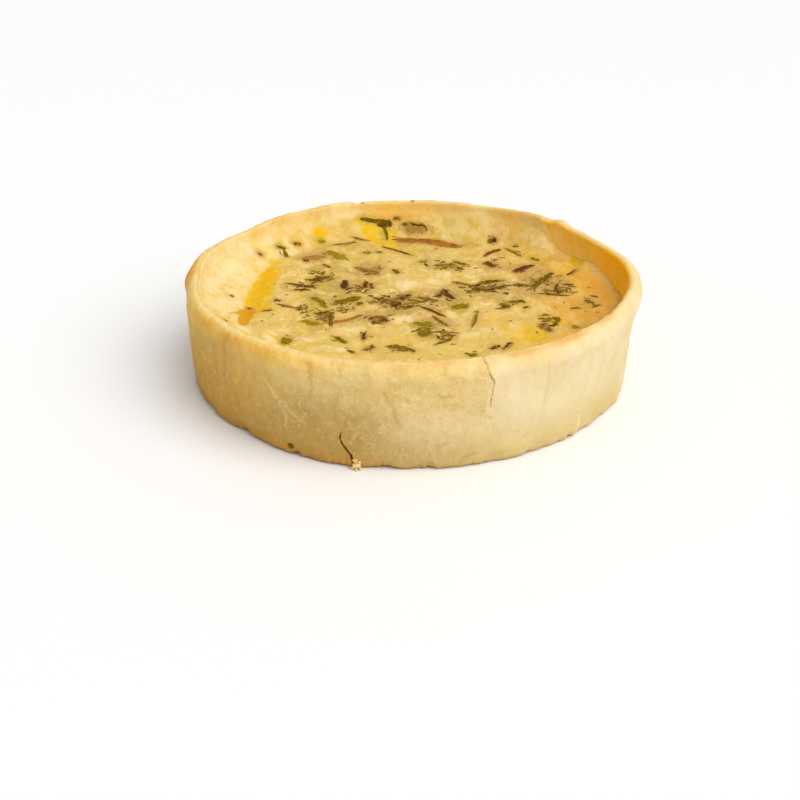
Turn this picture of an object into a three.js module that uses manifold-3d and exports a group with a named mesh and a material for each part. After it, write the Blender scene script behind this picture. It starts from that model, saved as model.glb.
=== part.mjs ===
// An individual quiche, 12 cm across: a straight-sided shortcrust pastry case filled with baked
// egg custard, with dried herbs, shreds of red onion and melted cheese baked into its top.
// Millimetres, +Z up. The origin is the middle of the foot, and -Y is the front.
import * as THREE from "three";
import { mergeVertices } from "three/addons/utils/BufferGeometryUtils.js";
import Module from "manifold-3d";

const wasm = await Module();
wasm.setup();

// ---- Driving dimensions ----
const RIM_RADIUS = 60;
const FOOT_RADIUS = 57.3;
const HEIGHT = 28.1; // of the plain rim; its one crest stands higher
const WALL = 4.4;
const FLOOR = 4;
const BULGE = 0.2; // of the wall between foot and rim
const SHOULDER = 3.8; // height over which the outside of the rim rounds in to its crest
const CREST = 1.4; // from the inside of the wall out to the crest
const INNER_ROUND = 1.1; // height of the rim's rounded inner edge
const FOOT_ROUND = 1.5;
const GAP = 0.3; // between the case and its filling

// ---- How the case is uneven: [angle in degrees, half width in degrees, size in mm] ----
const WALL_SWELLS = [[10, 40, -1.2], [300, 40, 0.8]]; // thinner on the right, thicker in front
const RIM_SWELLS = [[0, 14, 0.7], [27, 9, -0.8], [108, 14, 0.7], [147, 9, -0.5], [187, 8, -0.6]];
const FOOT_SWELLS = [[190, 10, 0.7], [222, 9, -0.6], [250, 16, 0.5], [315, 24, -1], [346, 12, 0.4]];
const BULGE_SWELLS = [[353, 18, -0.9]]; // hollow on the right, under the flared rim
const FLARES = [[3, 17, 1.1], [178, 4, 0.9]]; // where the rim's shoulder stands out
const FLARE_FROM = 19; // height at which the shoulder starts to flare
const FLARE_TO = 24.5;
const RIM_CRESTS = [[41.5, 2.4, 0.9], [50, 8, 0.5], [106, 1.5, -0.7], [113, 9, 0.6], [100, 60, 0.35],
  [131, 7, 0.3], [150, 6, 0.3], [147, 9, -0.5], [169, 7, 0.9], [248, 20, -0.2], [288.2, 1.2, -0.4]];
const FOOT_CHIPS = [[196, 1.5, -0.4], [206, 2, -0.3], [222.8, 1.4, -1.1], [232, 2, -0.4], [262, 3, -0.3],
  [274, 2, -0.4], [292, 3, -0.5], [302, 1.5, -0.3]];
const CHIP_HEIGHT = 4;
const LIP = { from: 282, to: 316.6, size: 0.45, height: 7 }; // dough pushed out along the foot
const SHARP = 1.6; // degrees over which the lip's far end drops away

// ---- Cracks in the outside of the wall: [angle, height, width] from the lowest point up ----
const FOOT_CRACK = {
  depth: 1.1,
  path: [[256.9, -0.6, 1.2], [256.3, 1.6, 0.8], [255.7, 3.4, 0.7], [254.6, 4.9, 0.7], [253.6, 6.6, 0.6],
    [253.2, 8.1, 0.5], [253.9, 9.6, 0.2]],
};
const RIM_CRACK = {
  depth: 0.6,
  path: [[288.4, 16.5, 0.2], [288.5, 18.8, 0.3], [288.9, 21.4, 0.35], [288.9, 23.2, 0.4],
    [288.1, 24.8, 0.45], [287.7, 26.4, 0.5], [287.2, 28.9, 0.7]],
};
const PIT = { angle: 239.8, height: 2.6, radius: 0.9 };

// ---- The custard ----
const LEVEL = 20.8;
const FORWARD_FALL = -0.006; // the top stands a little higher at the front
const BANK = { rise: 6, from: 45, to: 208, toe: 48, bend: 1.3 }; // custard standing up against the wall
const BANK_TOES = [[180, 38, -4.5], [90, 22, -1.5], [44, 13, 3.6]]; // how much further out its foot lies
const FURROW = { depth: 0.9, width: 2.6, from: 150, to: 206 }; // along the bank's foot
const EDGE = { rise: 0.4, width: 3.5 }; // the custard's own edge, where there is no bank
const EDGE_SWELLS = [[6, 30, -1.7], [24, 8, 1.7]]; // it sinks on the right, and climbs the wall at one spot
const LUMPS = [[0.42, 0.11, 1.3, 0.24], [-0.13, 0.47, 0.4, 0.24], [0.33, -0.5, 2, 0.16],
  [0.81, 0.52, 4, 0.1], [-0.66, 0.87, 1, 0.1]]; // [per mm along x, along y, phase, height]

// ---- Toppings: each row is x, y, turn in degrees, length, width, lying on the custard ----
const LEAVES = [[-11, 51.5, 5, 7, 2.4], [-8.4, 49.2, -85, 4, 1.6], [-21.8, 32.9, 50, 6.5, 3],
  [-36.4, 30.8, -60, 5.2, 2.4], [-24.3, 14.2, 28, 7.5, 3.4], [-27.1, 19.8, 0, 4.5, 1.8],
  [-18.2, -1.9, 17, 9.5, 3], [-24.5, -2.6, -30, 5, 2.8], [3.9, 27.4, -50, 4.2, 1.8],
  [29.2, 34.8, -62, 8.5, 1.8], [35.9, 10.4, 48, 8, 3.6], [28.3, -2, 0, 4.5, 2.2],
  [12.7, -6.6, 20, 4.5, 3.4], [4.1, -24.7, 10, 5.4, 3.8], [3.8, -18.3, 0, 4.3, 2.4],
  [-28.3, -7.8, 30, 4, 2.2], [-25.5, -18.2, -16, 5, 2.4], [-31.1, -28.7, 0, 3.2, 3],
  [-17.7, -28.3, -40, 4.2, 1.8], [-2.2, -33.4, -8, 6.5, 2.8], [15.7, -36.6, 10, 3.6, 1.8],
  [37.5, -14.9, 0, 2.8, 2.2]];
const DARK_FLAKES = [[-4.7, 52.2, 3, 3.3, 1.8], [0.8, 49, -18, 6, 3], [-18.7, 41.2, 14, 4.6, 1.5],
  [-27.3, 30.8, 0, 5.2, 2.2], [-18.2, 8.9, 80, 3.6, 2.4], [-12.1, 8.2, -70, 3.8, 2.6],
  [-12.2, 20.6, -30, 6, 2.2], [-4.2, 19.1, 0, 2.4, 1.6], [-4.2, -3.2, -35, 4.6, 2.8],
  [-1.3, -4.2, 40, 5.4, 2.8], [-6.8, -2.2, -30, 3.4, 2], [9, 2.9, 45, 6, 3.2], [8, 27.8, 20, 3.8, 1.8],
  [11.5, 23.9, -30, 4, 2], [13.9, 26.3, -36, 3.6, 1.6], [23.6, 43.8, -20, 2.4, 1.7],
  [22.1, 24.7, -50, 4, 2.6], [23, 7.3, 40, 7, 2.8], [16.6, 3.3, 10, 3.9, 1.6],
  [30.1, 8.4, 10, 4.5, 1.8], [38.2, 3, 25, 5, 2], [35.5, 8.1, -40, 4.2, 1.6], [-22.1, -14.8, -60, 5.6, 2.6],
  [-12.4, -15.1, -25, 4.3, 2.2], [-8.1, -13.8, -25, 4.4, 2.2], [-11.8, -25.4, -80, 3, 1.6],
  [-10.2, -33.5, 35, 3.3, 1.7], [34.4, -20.7, -55, 4.8, 2.6], [47.2, -4, 25, 2.8, 1.3]];
const SHREDS = [[5.3, 43.5, -15, 19, 2], [-3.7, 36.3, -34, 12, 1.4], [-14.7, 44.4, -13, 5.5, 1.2],
  [-30.7, 9.6, -22, 8, 1.4], [-28.6, 5.5, 10, 7, 1.3], [-2.1, -3.5, -48, 9, 1.4],
  [14.4, 9.4, -26, 8.5, 1.5], [10.8, 20.4, -19, 6.6, 1.4], [23.4, 34.4, 38, 5.6, 1.9],
  [31.7, 20.9, 28, 7, 2.3], [39.5, 6.7, 80, 4.5, 1.4], [44.1, 17.9, 46, 4.6, 1.3],
  [16.2, -15.6, 68, 7, 1.1], [5.6, -9.3, -34, 8.5, 1.5], [7.6, -16.3, -52, 7, 1.6],
  [9.2, -23.7, 30, 4.8, 1.4], [8.4, -29.4, 32, 4.6, 1.3], [-16.6, -15.5, 22, 7.2, 1.5],
  [-32.3, -7.5, -15, 6.6, 1.3], [24, -32, 42, 4, 1.3]];
const FLAKE_THICK = 0.35;
const FLAKE_SUNK = 0.5; // how far the underside of a flake's middle lies in the custard
const LEAF_CURL = 0.55;
const SHRED_CURL = 0.35;

// ---- Fineness of the faceted solids ----
const WALL_STEPS = 112;
const FEATURE_OFFSETS = [-2.4, -1.3, -0.5, 0.5, 1.3, 2.4]; // extra angles beside a sharp feature
const WALL_SHARES = [0.16, 0.34, 0.52, 0.7, 0.86, 1];
const SHOULDER_POINTS = 4;
const INNER_POINTS = 2;
const CUSTARD_RINGS = 20;

const radians = (degrees) => (degrees * Math.PI) / 180;

function smooth(low, high, value) {
  const share = Math.min(1, Math.max(0, (value - low) / (high - low)));
  return share * share * (3 - 2 * share);
}

function turn(angle, from) {
  return ((((angle - from + 180) % 360) + 360) % 360) - 180;
}

function swell(angle, swells) {
  const share = ([at, width, size]) => size * Math.exp(-((turn(angle, at) / width) ** 2));
  return swells.reduce((sum, row) => sum + share(row), 0);
}

// ---- The case ----
function plainRadius(angle, height) {
  const share = height / HEIGHT;
  const lean = FOOT_RADIUS + (RIM_RADIUS - FOOT_RADIUS) * share;
  return lean + (1 - share) * swell(angle, FOOT_SWELLS) + share * swell(angle, RIM_SWELLS);
}

function innerRadius(angle, height) {
  return plainRadius(angle, height) - WALL - swell(angle, WALL_SWELLS);
}

function lip(angle, height) {
  const along = smooth(LIP.from, LIP.from + 12, angle) * (1 - smooth(LIP.to - SHARP, LIP.to, angle));
  return LIP.size * along * (1 - smooth(0.4 * LIP.height, LIP.height, height));
}

function outerRadius(angle, height) {
  const a = radians(angle);
  const relief = 0.1 * Math.sin(9 * a + 0.31 * height) + 0.09 * Math.sin(17 * a - 0.42 * height + 2);
  const chips = swell(angle, FOOT_CHIPS) * (1 - smooth(0.5, CHIP_HEIGHT, height));
  const bulge = (BULGE + swell(angle, BULGE_SWELLS)) * Math.sin((Math.PI * height) / HEIGHT);
  const flare = swell(angle, FLARES) * smooth(FLARE_FROM, FLARE_TO, height);
  return plainRadius(angle, height) + bulge + flare + relief + chips + lip(angle, height);
}

function rimHeight(angle) {
  const a = radians(angle);
  return HEIGHT + swell(angle, RIM_CRESTS) + 0.1 * Math.sin(5 * a + 1) + 0.07 * Math.sin(14 * a);
}

// The outside of the case, with its shoulder.
function caseRadius(angle, height) {
  const top = rimHeight(angle);
  const edge = top - SHOULDER;
  if (height <= edge) return outerRadius(angle, Math.max(0, height));
  const bend = Math.min(1, (height - edge) / SHOULDER);
  const crest = innerRadius(angle, top - INNER_ROUND) + CREST;
  return crest + (outerRadius(angle, edge) - crest) * Math.sqrt(1 - bend ** 2);
}

// The case's section at one angle, as [radius, height] from the middle of the foot, over the rim
// and down to the middle of the floor.
function caseSection(angle) {
  const top = rimHeight(angle);
  const edge = top - SHOULDER;
  const foot = outerRadius(angle, 0);
  const section = [[0, 0], [foot - FOOT_ROUND, 0], [foot - 0.3 * FOOT_ROUND, 0.3 * FOOT_ROUND]];
  section.push([outerRadius(angle, FOOT_ROUND), FOOT_ROUND]);
  for (const share of WALL_SHARES) {
    const height = FOOT_ROUND + share * (edge - FOOT_ROUND);
    section.push([outerRadius(angle, height), height]);
  }
  for (let step = 1; step <= SHOULDER_POINTS; step++) {
    const height = edge + SHOULDER * Math.sin((Math.PI / 2) * (step / SHOULDER_POINTS));
    section.push([caseRadius(angle, height), height]);
  }
  const inside = innerRadius(angle, top - INNER_ROUND);
  for (let step = 1; step <= INNER_POINTS; step++) {
    const bend = (Math.PI / 2) * (step / INNER_POINTS);
    section.push([inside + CREST * (1 - Math.sin(bend)), top - INNER_ROUND * (1 - Math.cos(bend))]);
  }
  section.push([innerRadius(angle, (edge + FLOOR) / 2), (edge + FLOOR) / 2]);
  section.push([innerRadius(angle, FLOOR + FOOT_ROUND), FLOOR + FOOT_ROUND]);
  section.push([innerRadius(angle, FLOOR) - FOOT_ROUND, FLOOR], [0, FLOOR]);
  return section;
}

// The angles of the case's sections: even steps, and closer ones beside each sharp feature.
function caseAngles() {
  const angles = Array.from({ length: WALL_STEPS }, (_, step) => (360 * step) / WALL_STEPS);
  const features = [41.5, 106, 222.8, LIP.to - SHARP / 2, 288.2];
  for (const at of features) angles.push(...FEATURE_OFFSETS.map((offset) => at + offset));
  angles.sort((a, b) => a - b);
  return angles.filter((angle, index) => index === 0 || angle - angles[index - 1] > 0.35);
}

// ---- Closed meshes from rings of points ----
class Shell {
  constructor() {
    this.points = [];
    this.faces = [];
  }

  point(x, y, z) {
    this.points.push(x, y, z);
    return this.points.length / 3 - 1;
  }

  quad(a, b, c, d) {
    this.faces.push(a, b, c, a, c, d);
  }

  solid() {
    return new wasm.Manifold(new wasm.Mesh({
      numProp: 3,
      vertProperties: new Float32Array(this.points),
      triVerts: new Uint32Array(this.faces),
    }));
  }
}

function solidOf(geometry) {
  geometry.deleteAttribute("normal");
  geometry.deleteAttribute("uv");
  const merged = mergeVertices(geometry, 1e-4);
  return new wasm.Manifold(new wasm.Mesh({
    numProp: 3,
    vertProperties: new Float32Array(merged.attributes.position.array),
    triVerts: new Uint32Array(merged.index.array),
  }));
}

function turnedCase() {
  const shell = new Shell();
  const angles = caseAngles();
  const bottom = shell.point(0, 0, 0);
  const top = shell.point(0, 0, FLOOR);
  const rings = angles.map((angle) => {
    const [x, y] = [Math.cos(radians(angle)), Math.sin(radians(angle))];
    const section = caseSection(angle).slice(1, -1);
    return section.map(([radius, height]) => shell.point(radius * x, radius * y, height));
  });
  rings.forEach((ring, index) => {
    const next = rings[(index + 1) % rings.length];
    shell.faces.push(bottom, next[0], ring[0]);
    for (let row = 1; row < ring.length; row++) {
      shell.quad(ring[row - 1], next[row - 1], next[row], ring[row]);
    }
    shell.faces.push(top, ring[ring.length - 1], next[next.length - 1]);
  });
  return shell.solid();
}

// A crack's cutter: a three-sided wedge that follows the path up the outside of the wall.
function crackCutter({ depth, path }) {
  const shell = new Shell();
  const proud = 0.8;
  const rings = path.map(([angle, height, width]) => {
    const surface = caseRadius(angle, height);
    const half = ((width / 2) * (depth + proud)) / depth;
    const [x, y] = [Math.cos(radians(angle)), Math.sin(radians(angle))];
    const [outside, inside] = [surface + proud, surface - depth];
    return [
      shell.point(outside * x - half * y, outside * y + half * x, height),
      shell.point(inside * x, inside * y, height),
      shell.point(outside * x + half * y, outside * y - half * x, height),
    ];
  });
  rings.slice(1).forEach((ring, index) => {
    const low = rings[index];
    for (let side = 0; side < 3; side++) {
      const after = (side + 1) % 3;
      shell.quad(low[side], low[after], ring[after], ring[side]);
    }
  });
  const last = rings[rings.length - 1];
  shell.faces.push(rings[0][2], rings[0][1], rings[0][0], last[0], last[1], last[2]);
  return shell.solid();
}

function pitCutter() {
  const radius = outerRadius(PIT.angle, PIT.height);
  const ball = new THREE.IcosahedronGeometry(PIT.radius, 1);
  ball.scale(1, 1, 0.7);
  ball.translate(radius * Math.cos(radians(PIT.angle)), radius * Math.sin(radians(PIT.angle)), PIT.height);
  return solidOf(ball);
}

function pastryCase() {
  return [crackCutter(FOOT_CRACK), crackCutter(RIM_CRACK), pitCutter()].reduce(
    (solid, cutter) => solid.subtract(cutter),
    turnedCase(),
  );
}

// ---- The custard ----
function bankShare(angle) {
  if (angle < BANK.from - 25 || angle > BANK.to + 32) return 0;
  return smooth(BANK.from - 6, BANK.from + 5, angle) * (1 - smooth(BANK.to - 16, BANK.to + 18, angle));
}

function furrowDepth(angle, radius, toe) {
  const start = smooth(FURROW.from, FURROW.from + 12, angle);
  const along = start * (1 - smooth(FURROW.to - 12, FURROW.to, angle));
  return FURROW.depth * along * Math.exp(-(((radius - toe + 0.5) / FURROW.width) ** 2));
}

// The inside of the wall where the top of the custard meets it.
function custardWall(angle) {
  return innerRadius(angle, LEVEL + BANK.rise * bankShare(angle));
}

function custardHeight(x, y) {
  const radius = Math.hypot(x, y);
  const angle = ((Math.atan2(y, x) * 180) / Math.PI + 360) % 360;
  const wall = custardWall(angle);
  const toe = BANK.toe + swell(angle, BANK_TOES);
  const bank = bankShare(angle);
  const lumps = LUMPS.reduce((sum, [alongX, alongY, phase, size]) => {
    return sum + size * Math.sin(alongX * x + alongY * y + phase);
  }, 0);
  const edge = (EDGE.rise + swell(angle, EDGE_SWELLS)) * (1 - bank) * Math.exp((radius - wall) / EDGE.width);
  const climb = BANK.rise * bank * Math.min(1, Math.max(0, (radius - toe) / (wall - toe))) ** BANK.bend;
  return LEVEL + FORWARD_FALL * y + lumps + climb + edge - furrowDepth(angle, radius, toe);
}

// The custard's top is rings of 6, 12, 18... points, so that its triangles stay alike in size.
function custardBlock() {
  const shell = new Shell();
  const rings = [[shell.point(0, 0, custardHeight(0, 0))]];
  for (let ring = 1; ring <= CUSTARD_RINGS; ring++) {
    const points = [];
    for (let step = 0; step < 6 * ring; step++) {
      const angle = (60 * step) / ring;
      const radius = ((custardWall(angle) - GAP) * ring) / CUSTARD_RINGS;
      const [x, y] = [radius * Math.cos(radians(angle)), radius * Math.sin(radians(angle))];
      points.push(shell.point(x, y, custardHeight(x, y)));
    }
    rings.push(points);
  }
  for (let ring = 1; ring <= CUSTARD_RINGS; ring++) {
    const [inner, outer] = [rings[ring - 1], rings[ring]];
    for (let sector = 0; sector < 6; sector++) {
      for (let step = 0; step < ring; step++) {
        const out = outer[sector * ring + step];
        const outNext = outer[(sector * ring + step + 1) % outer.length];
        const within = inner[(sector * (ring - 1) + step) % inner.length];
        shell.faces.push(within, out, outNext);
        if (step < ring - 1) {
          const withinNext = inner[(sector * (ring - 1) + step + 1) % inner.length];
          shell.faces.push(within, outNext, withinNext);
        }
      }
    }
  }
  const rim = rings[CUSTARD_RINGS];
  const foot = FLOOR + GAP;
  const bottom = shell.point(0, 0, foot);
  const sides = rim.map((_, step) => {
    const angle = (60 * step) / CUSTARD_RINGS;
    const [x, y] = [Math.cos(radians(angle)), Math.sin(radians(angle))];
    const side = innerRadius(angle, foot + FOOT_ROUND) - GAP;
    const low = innerRadius(angle, foot) - GAP - FOOT_ROUND;
    return [shell.point(side * x, side * y, foot + FOOT_ROUND), shell.point(low * x, low * y, foot)];
  });
  rim.forEach((point, step) => {
    const after = (step + 1) % rim.length;
    shell.quad(point, sides[step][0], sides[after][0], rim[after]);
    shell.quad(sides[step][0], sides[step][1], sides[after][1], sides[after][0]);
    shell.faces.push(bottom, sides[after][1], sides[step][1]);
  });
  return shell.solid();
}

// ---- The toppings ----
// A thin wavy blade that follows the custard, its middle sunk in and its two ends curled up.
function blade([x, y, degrees, length, width], curl, shape) {
  const shell = new Shell();
  const steps = shape.length - 1;
  const [along, across] = [Math.cos(radians(degrees)), Math.sin(radians(degrees))];
  const rings = shape.map((share, step) => {
    const place = step / steps - 0.5;
    const lift = curl * (2 * place) ** 2 + 0.12 * Math.sin(5 * step + x);
    const bend = 0.12 * length * Math.sin(3 * place + y);
    return [1, -1].flatMap((side) => {
      const [u, v] = [place * length, (side * share * width) / 2 + bend * place];
      const [px, py] = [x + u * along - v * across, y + u * across + v * along];
      const surface = custardHeight(px, py) + lift;
      return [shell.point(px, py, surface + FLAKE_THICK), shell.point(px, py, surface - FLAKE_SUNK)];
    });
  });
  rings.slice(1).forEach((ring, index) => {
    const [topLeft, lowLeft, topRight, lowRight] = rings[index];
    shell.quad(topLeft, topRight, ring[2], ring[0]);
    shell.quad(lowRight, lowLeft, ring[1], ring[3]);
    shell.quad(lowLeft, topLeft, ring[0], ring[1]);
    shell.quad(topRight, lowRight, ring[3], ring[2]);
  });
  const [first, last] = [rings[0], rings[steps]];
  shell.quad(first[1], first[3], first[2], first[0]);
  shell.quad(last[0], last[2], last[3], last[1]);
  return shell.solid();
}

function toppings() {
  return [
    ...LEAVES.map((row) => blade(row, LEAF_CURL, [0.25, 1, 0.9, 0.3])),
    ...DARK_FLAKES.map((row) => blade(row, LEAF_CURL, [0.6, 1, 0.7])),
    ...SHREDS.map((row) => blade(row, SHRED_CURL, [0.5, 0.9, 1, 0.6])),
  ];
}

function filling() {
  const fused = wasm.Manifold.union([custardBlock(), ...toppings()]);
  return fused.decompose().sort((a, b) => b.volume() - a.volume())[0];
}

// ---- The scene graph ----
function meshOf(name, solid, material) {
  const { vertProperties, triVerts } = solid.getMesh();
  const geometry = new THREE.BufferGeometry();
  geometry.setAttribute("position", new THREE.BufferAttribute(new Float32Array(vertProperties), 3));
  geometry.setIndex(new THREE.BufferAttribute(new Uint32Array(triVerts), 1));
  geometry.computeVertexNormals();
  const mesh = new THREE.Mesh(geometry, new THREE.MeshStandardMaterial(material));
  mesh.name = name;
  return mesh;
}

const quiche = new THREE.Group();
quiche.name = "quiche";
quiche.add(
  meshOf("pastry_case", pastryCase(), { color: 0xe3c184, roughness: 0.75, metalness: 0 }),
  meshOf("filling", filling(), { color: 0xe6c36f, roughness: 0.45, metalness: 0 }),
);

export default quiche;
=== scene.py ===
# An individual quiche: a shortcrust pastry case filled with baked egg custard, with dried herbs,
# shreds of red onion and melted cheese baked into its top.
import math

import bmesh
import bpy
import numpy as np
from mathutils import Matrix, Vector, noise


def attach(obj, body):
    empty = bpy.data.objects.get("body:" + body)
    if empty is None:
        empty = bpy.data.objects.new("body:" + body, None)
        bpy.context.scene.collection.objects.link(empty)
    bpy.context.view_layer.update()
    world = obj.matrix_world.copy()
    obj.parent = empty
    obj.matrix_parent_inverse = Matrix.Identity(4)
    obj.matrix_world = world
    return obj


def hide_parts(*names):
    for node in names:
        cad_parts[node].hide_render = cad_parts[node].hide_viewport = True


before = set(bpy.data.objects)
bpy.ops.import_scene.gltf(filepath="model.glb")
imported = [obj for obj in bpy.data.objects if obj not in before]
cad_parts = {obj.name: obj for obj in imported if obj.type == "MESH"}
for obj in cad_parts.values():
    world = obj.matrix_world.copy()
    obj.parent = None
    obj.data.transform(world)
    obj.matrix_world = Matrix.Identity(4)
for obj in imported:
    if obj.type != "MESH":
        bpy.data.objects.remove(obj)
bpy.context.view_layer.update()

# ---- Sizes, in millimetres and degrees ----
# The case and the custard keep the sizes of their solids, but for a shallower rim crack and fewer, lower
# lumps. The toppings are more and finer than those of the solids.
MM = 0.001
RIM_RADIUS = 60
FOOT_RADIUS = 57.3
HEIGHT = 28.1
WALL = 4.4
FLOOR = 4
BULGE = 0.2  # of the wall between foot and rim
SHOULDER = 3.8  # height over which the outside of the rim rounds in to its crest
CREST = 1.4  # from the inside of the wall out to the crest
INNER_ROUND = 1.1
FOOT_ROUND = 1.5
GAP = 0.3  # between the case and its filling
FINE_ABOVE = 17  # the inside of the wall is divided finely above this height

# How the case is uneven: [angle, half width, size]
WALL_SWELLS = [[10, 40, -1.2], [300, 40, 0.8]]
RIM_SWELLS = [[0, 14, 0.7], [27, 9, -0.8], [108, 14, 0.7], [147, 9, -0.5], [187, 8, -0.6]]
FOOT_SWELLS = [[190, 10, 0.7], [222, 9, -0.6], [250, 16, 0.5], [315, 24, -1], [346, 12, 0.4]]
BULGE_SWELLS = [[353, 18, -0.9]]
FLARES = [[3, 17, 1.1], [178, 4, 0.9]]
FLARE_FROM, FLARE_TO = 19, 24.5  # the heights between which the flares grow
RIM_CRESTS = [
    [41.5, 2.4, 0.9], [50, 8, 0.5], [106, 1.5, -0.7], [113, 9, 0.6], [100, 60, 0.35], [131, 7, 0.3],
    [150, 6, 0.3], [147, 9, -0.5], [169, 7, 0.9], [248, 20, -0.2], [288.2, 1.2, -0.4]]
FOOT_CHIPS = [
    [196, 1.5, -0.4], [206, 2, -0.3], [222.8, 1.4, -1.1], [232, 2, -0.4], [262, 3, -0.3], [274, 2, -0.4],
    [292, 3, -0.5], [302, 1.5, -0.3]]
CHIP_HEIGHT = 4
LIP_FROM, LIP_TO, LIP_SIZE, LIP_HEIGHT = 282, 316.6, 0.45, 7  # dough pushed out along the foot
SHARP = 1.6  # degrees over which the lip's far end drops away
PIT_ANGLE, PIT_HEIGHT, PIT_RADIUS, PIT_DEPTH = 239.8, 2.6, 0.9, 0.8
FOOT_RAGGED, FOOT_CRUMBLED = 0.32, 1.1  # lumps along the foot, and the most that it is clear of the table
RIM_FROM = 24  # the grain of the wall gives way to that of the rim above this height

# Cracks: [angle, height, width] from the lowest point up
FOOT_CRACK = [
    [256.9, -0.6, 1.2], [256.3, 1.6, 0.8], [255.7, 3.4, 0.7], [254.6, 4.9, 0.7], [253.6, 6.6, 0.6],
    [253.2, 8.1, 0.5], [253.9, 9.6, 0.2]]
RIM_CRACK = [
    [288.4, 16.5, 0.2], [288.5, 18.8, 0.3], [288.9, 21.4, 0.35], [288.9, 23.2, 0.4], [288.1, 24.8, 0.45],
    [287.7, 26.4, 0.5], [287.2, 28.9, 0.7]]
# Each crack with its depth, how proud its lips stand, and how dark it is painted, as shade in the crack
CRACKS = [[FOOT_CRACK, 1.1, 0.12, 1], [RIM_CRACK, 0.45, 0.08, 0.4]]
# Crumbs at the foot crack: [angle, distance out, height, size, how golden]
CRUMBS = [
    [257.2, 0.7, 1, 0.95, 0], [256.9, 0.5, 2.3, 0.6, 0.9], [257.9, 0.5, 1.9, 0.45, 0.1],
    [258.1, 0.9, 0.4, 0.45, 0.2], [256.3, 0.9, 0.4, 0.45, 0.2], [257.4, 1.6, 0.3, 0.35, 0.3],
    [255.5, 0.5, 0.25, 0.25, 0.6]]

LINE_SPAN = 9  # no crack or line strays further from its first angle
# Shallow lines in the outside of the wall: depth (below 0 it stands proud), then [angle, height, width]
WALL_LINES = [
    [0.16, [221, 27, 0.7], [220.5, 25.8, 0.9], [219.1, 19.8, 0.9], [218.1, 13.8, 0.6], [218.4, 10, 0.3]],
    [0.12, [215.9, 24, 0.4], [215.7, 22.6, 0.8], [214.2, 13.6, 0.7], [214, 9, 0.3]],
    [-0.12, [234, 19.2, 0.4], [235.4, 17.7, 0.8], [237.2, 14.6, 0.9], [239.3, 11.7, 0.8], [239, 7.3, 0.4]],
    [-0.1, [237.2, 14.6, 0.4], [238.9, 14.8, 0.7], [240.3, 12.4, 0.8], [244.4, 10.4, 0.4]],
    [0.1, [228.6, 16.3, 0.4], [228.2, 14.4, 0.8], [227.9, 12.7, 0.4]],
    [0.12, [221.4, 12.8, 0.4], [222.5, 10.4, 0.8], [222.5, 6.4, 0.4]],
    [0.15, [281.4, 1.2, 0.5], [281.8, 2.1, 0.8], [283.3, 3, 0.8], [285.4, 3.6, 0.4]],
    [-0.09, [286.6, 25.5, 0.5], [287, 23.9, 0.9], [287.7, 19.7, 0.9], [287.5, 15, 0.8], [286.2, 12.6, 0.4]],
    [0.1, [246.4, 25, 0.4], [247.2, 20.5, 0.7], [246.1, 17, 0.4]],
    [0.12, [263.8, 21.3, 0.4], [265.3, 18.3, 0.8], [266.4, 15.7, 0.7], [267.6, 11.6, 0.4]],
    [-0.1, [268.6, 20.8, 0.4], [270, 19.6, 0.9], [271.6, 19.9, 0.4]],
    [0.1, [276, 20.6, 0.4], [277.4, 19.9, 0.8], [279.6, 20.2, 0.4]],
    [0.14, [254.7, 4.4, 0.3], [254.6, 3, 0.6], [254.6, 1.4, 0.5]],
    [0.1, [303, 25, 0.4], [303.6, 19, 0.7], [303.1, 13, 0.4]],
    [0.08, [322.4, 26, 0.4], [323.2, 17, 0.8], [322.6, 10, 0.4]],
    [-0.08, [338.3, 24, 0.4], [339, 15, 0.8], [338.2, 8, 0.4]],
    [-0.2, [316, 0.6, 0.6], [316.9, 2, 0.9], [316.8, 5.4, 0.7], [316.2, 7.4, 0.4]],
    [0.12, [20, 23, 0.5], [21, 14, 0.9], [20.4, 7, 0.4]], [0.1, [58, 25, 0.5], [57, 16, 0.8], [58, 9, 0.4]],
    [0.14, [97, 24, 0.5], [98.4, 15, 0.9], [97.6, 6, 0.4]],
    [-0.12, [124, 22, 0.5], [125, 14, 0.9], [124, 8, 0.4]],
    [0.14, [152, 25, 0.5], [151, 18, 0.9], [152, 9, 0.4]],
    [0.1, [186, 24, 0.5], [187, 14, 0.9], [186, 5, 0.4]]]
# Spots on the wall, browner and rougher: [angle, height, half width in mm, half height, strength]
WALL_TOAST = [
    [222.4, 7.8, 0.8, 0.5, 0.8], [234.6, 21.8, 0.6, 0.4, 0.8], [243.6, 24.4, 0.9, 0.6, 0.6],
    [207.9, 7.4, 0.9, 0.6, 0.6], [247.7, 4.8, 2, 0.9, 0.4], [242.5, 10.8, 1.6, 0.5, 0.4],
    [262, 22.5, 6, 1.6, 0.2], [281.5, 21.5, 2.4, 2, 0.3], [226, 15, 5, 4, 0.2], [250, 11, 6, 4, 0.15],
    [150, 12, 9, 4, 0.3], [110, 18, 8, 4, 0.3], [236, 2, 9, 1.4, 0.4], [256, 1.4, 8, 1, 0.3]]
ROUGH = [
    [280, 20, 3.6, 2.2, 1], [278, 12.4, 3.4, 3.4, 0.9], [276, 5.6, 3, 2.4, 1], [283, 3, 2.4, 1, 1.3],
    [265, 18, 4, 3, 0.8], [254, 15, 6, 5, 0.5], [241, 11.5, 3, 2, 0.9], [230, 6, 6, 3, 0.5],
    [60, 12, 9, 6, 0.6], [120, 14, 12, 7, 0.6], [175, 10, 10, 6, 0.5]]
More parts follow.
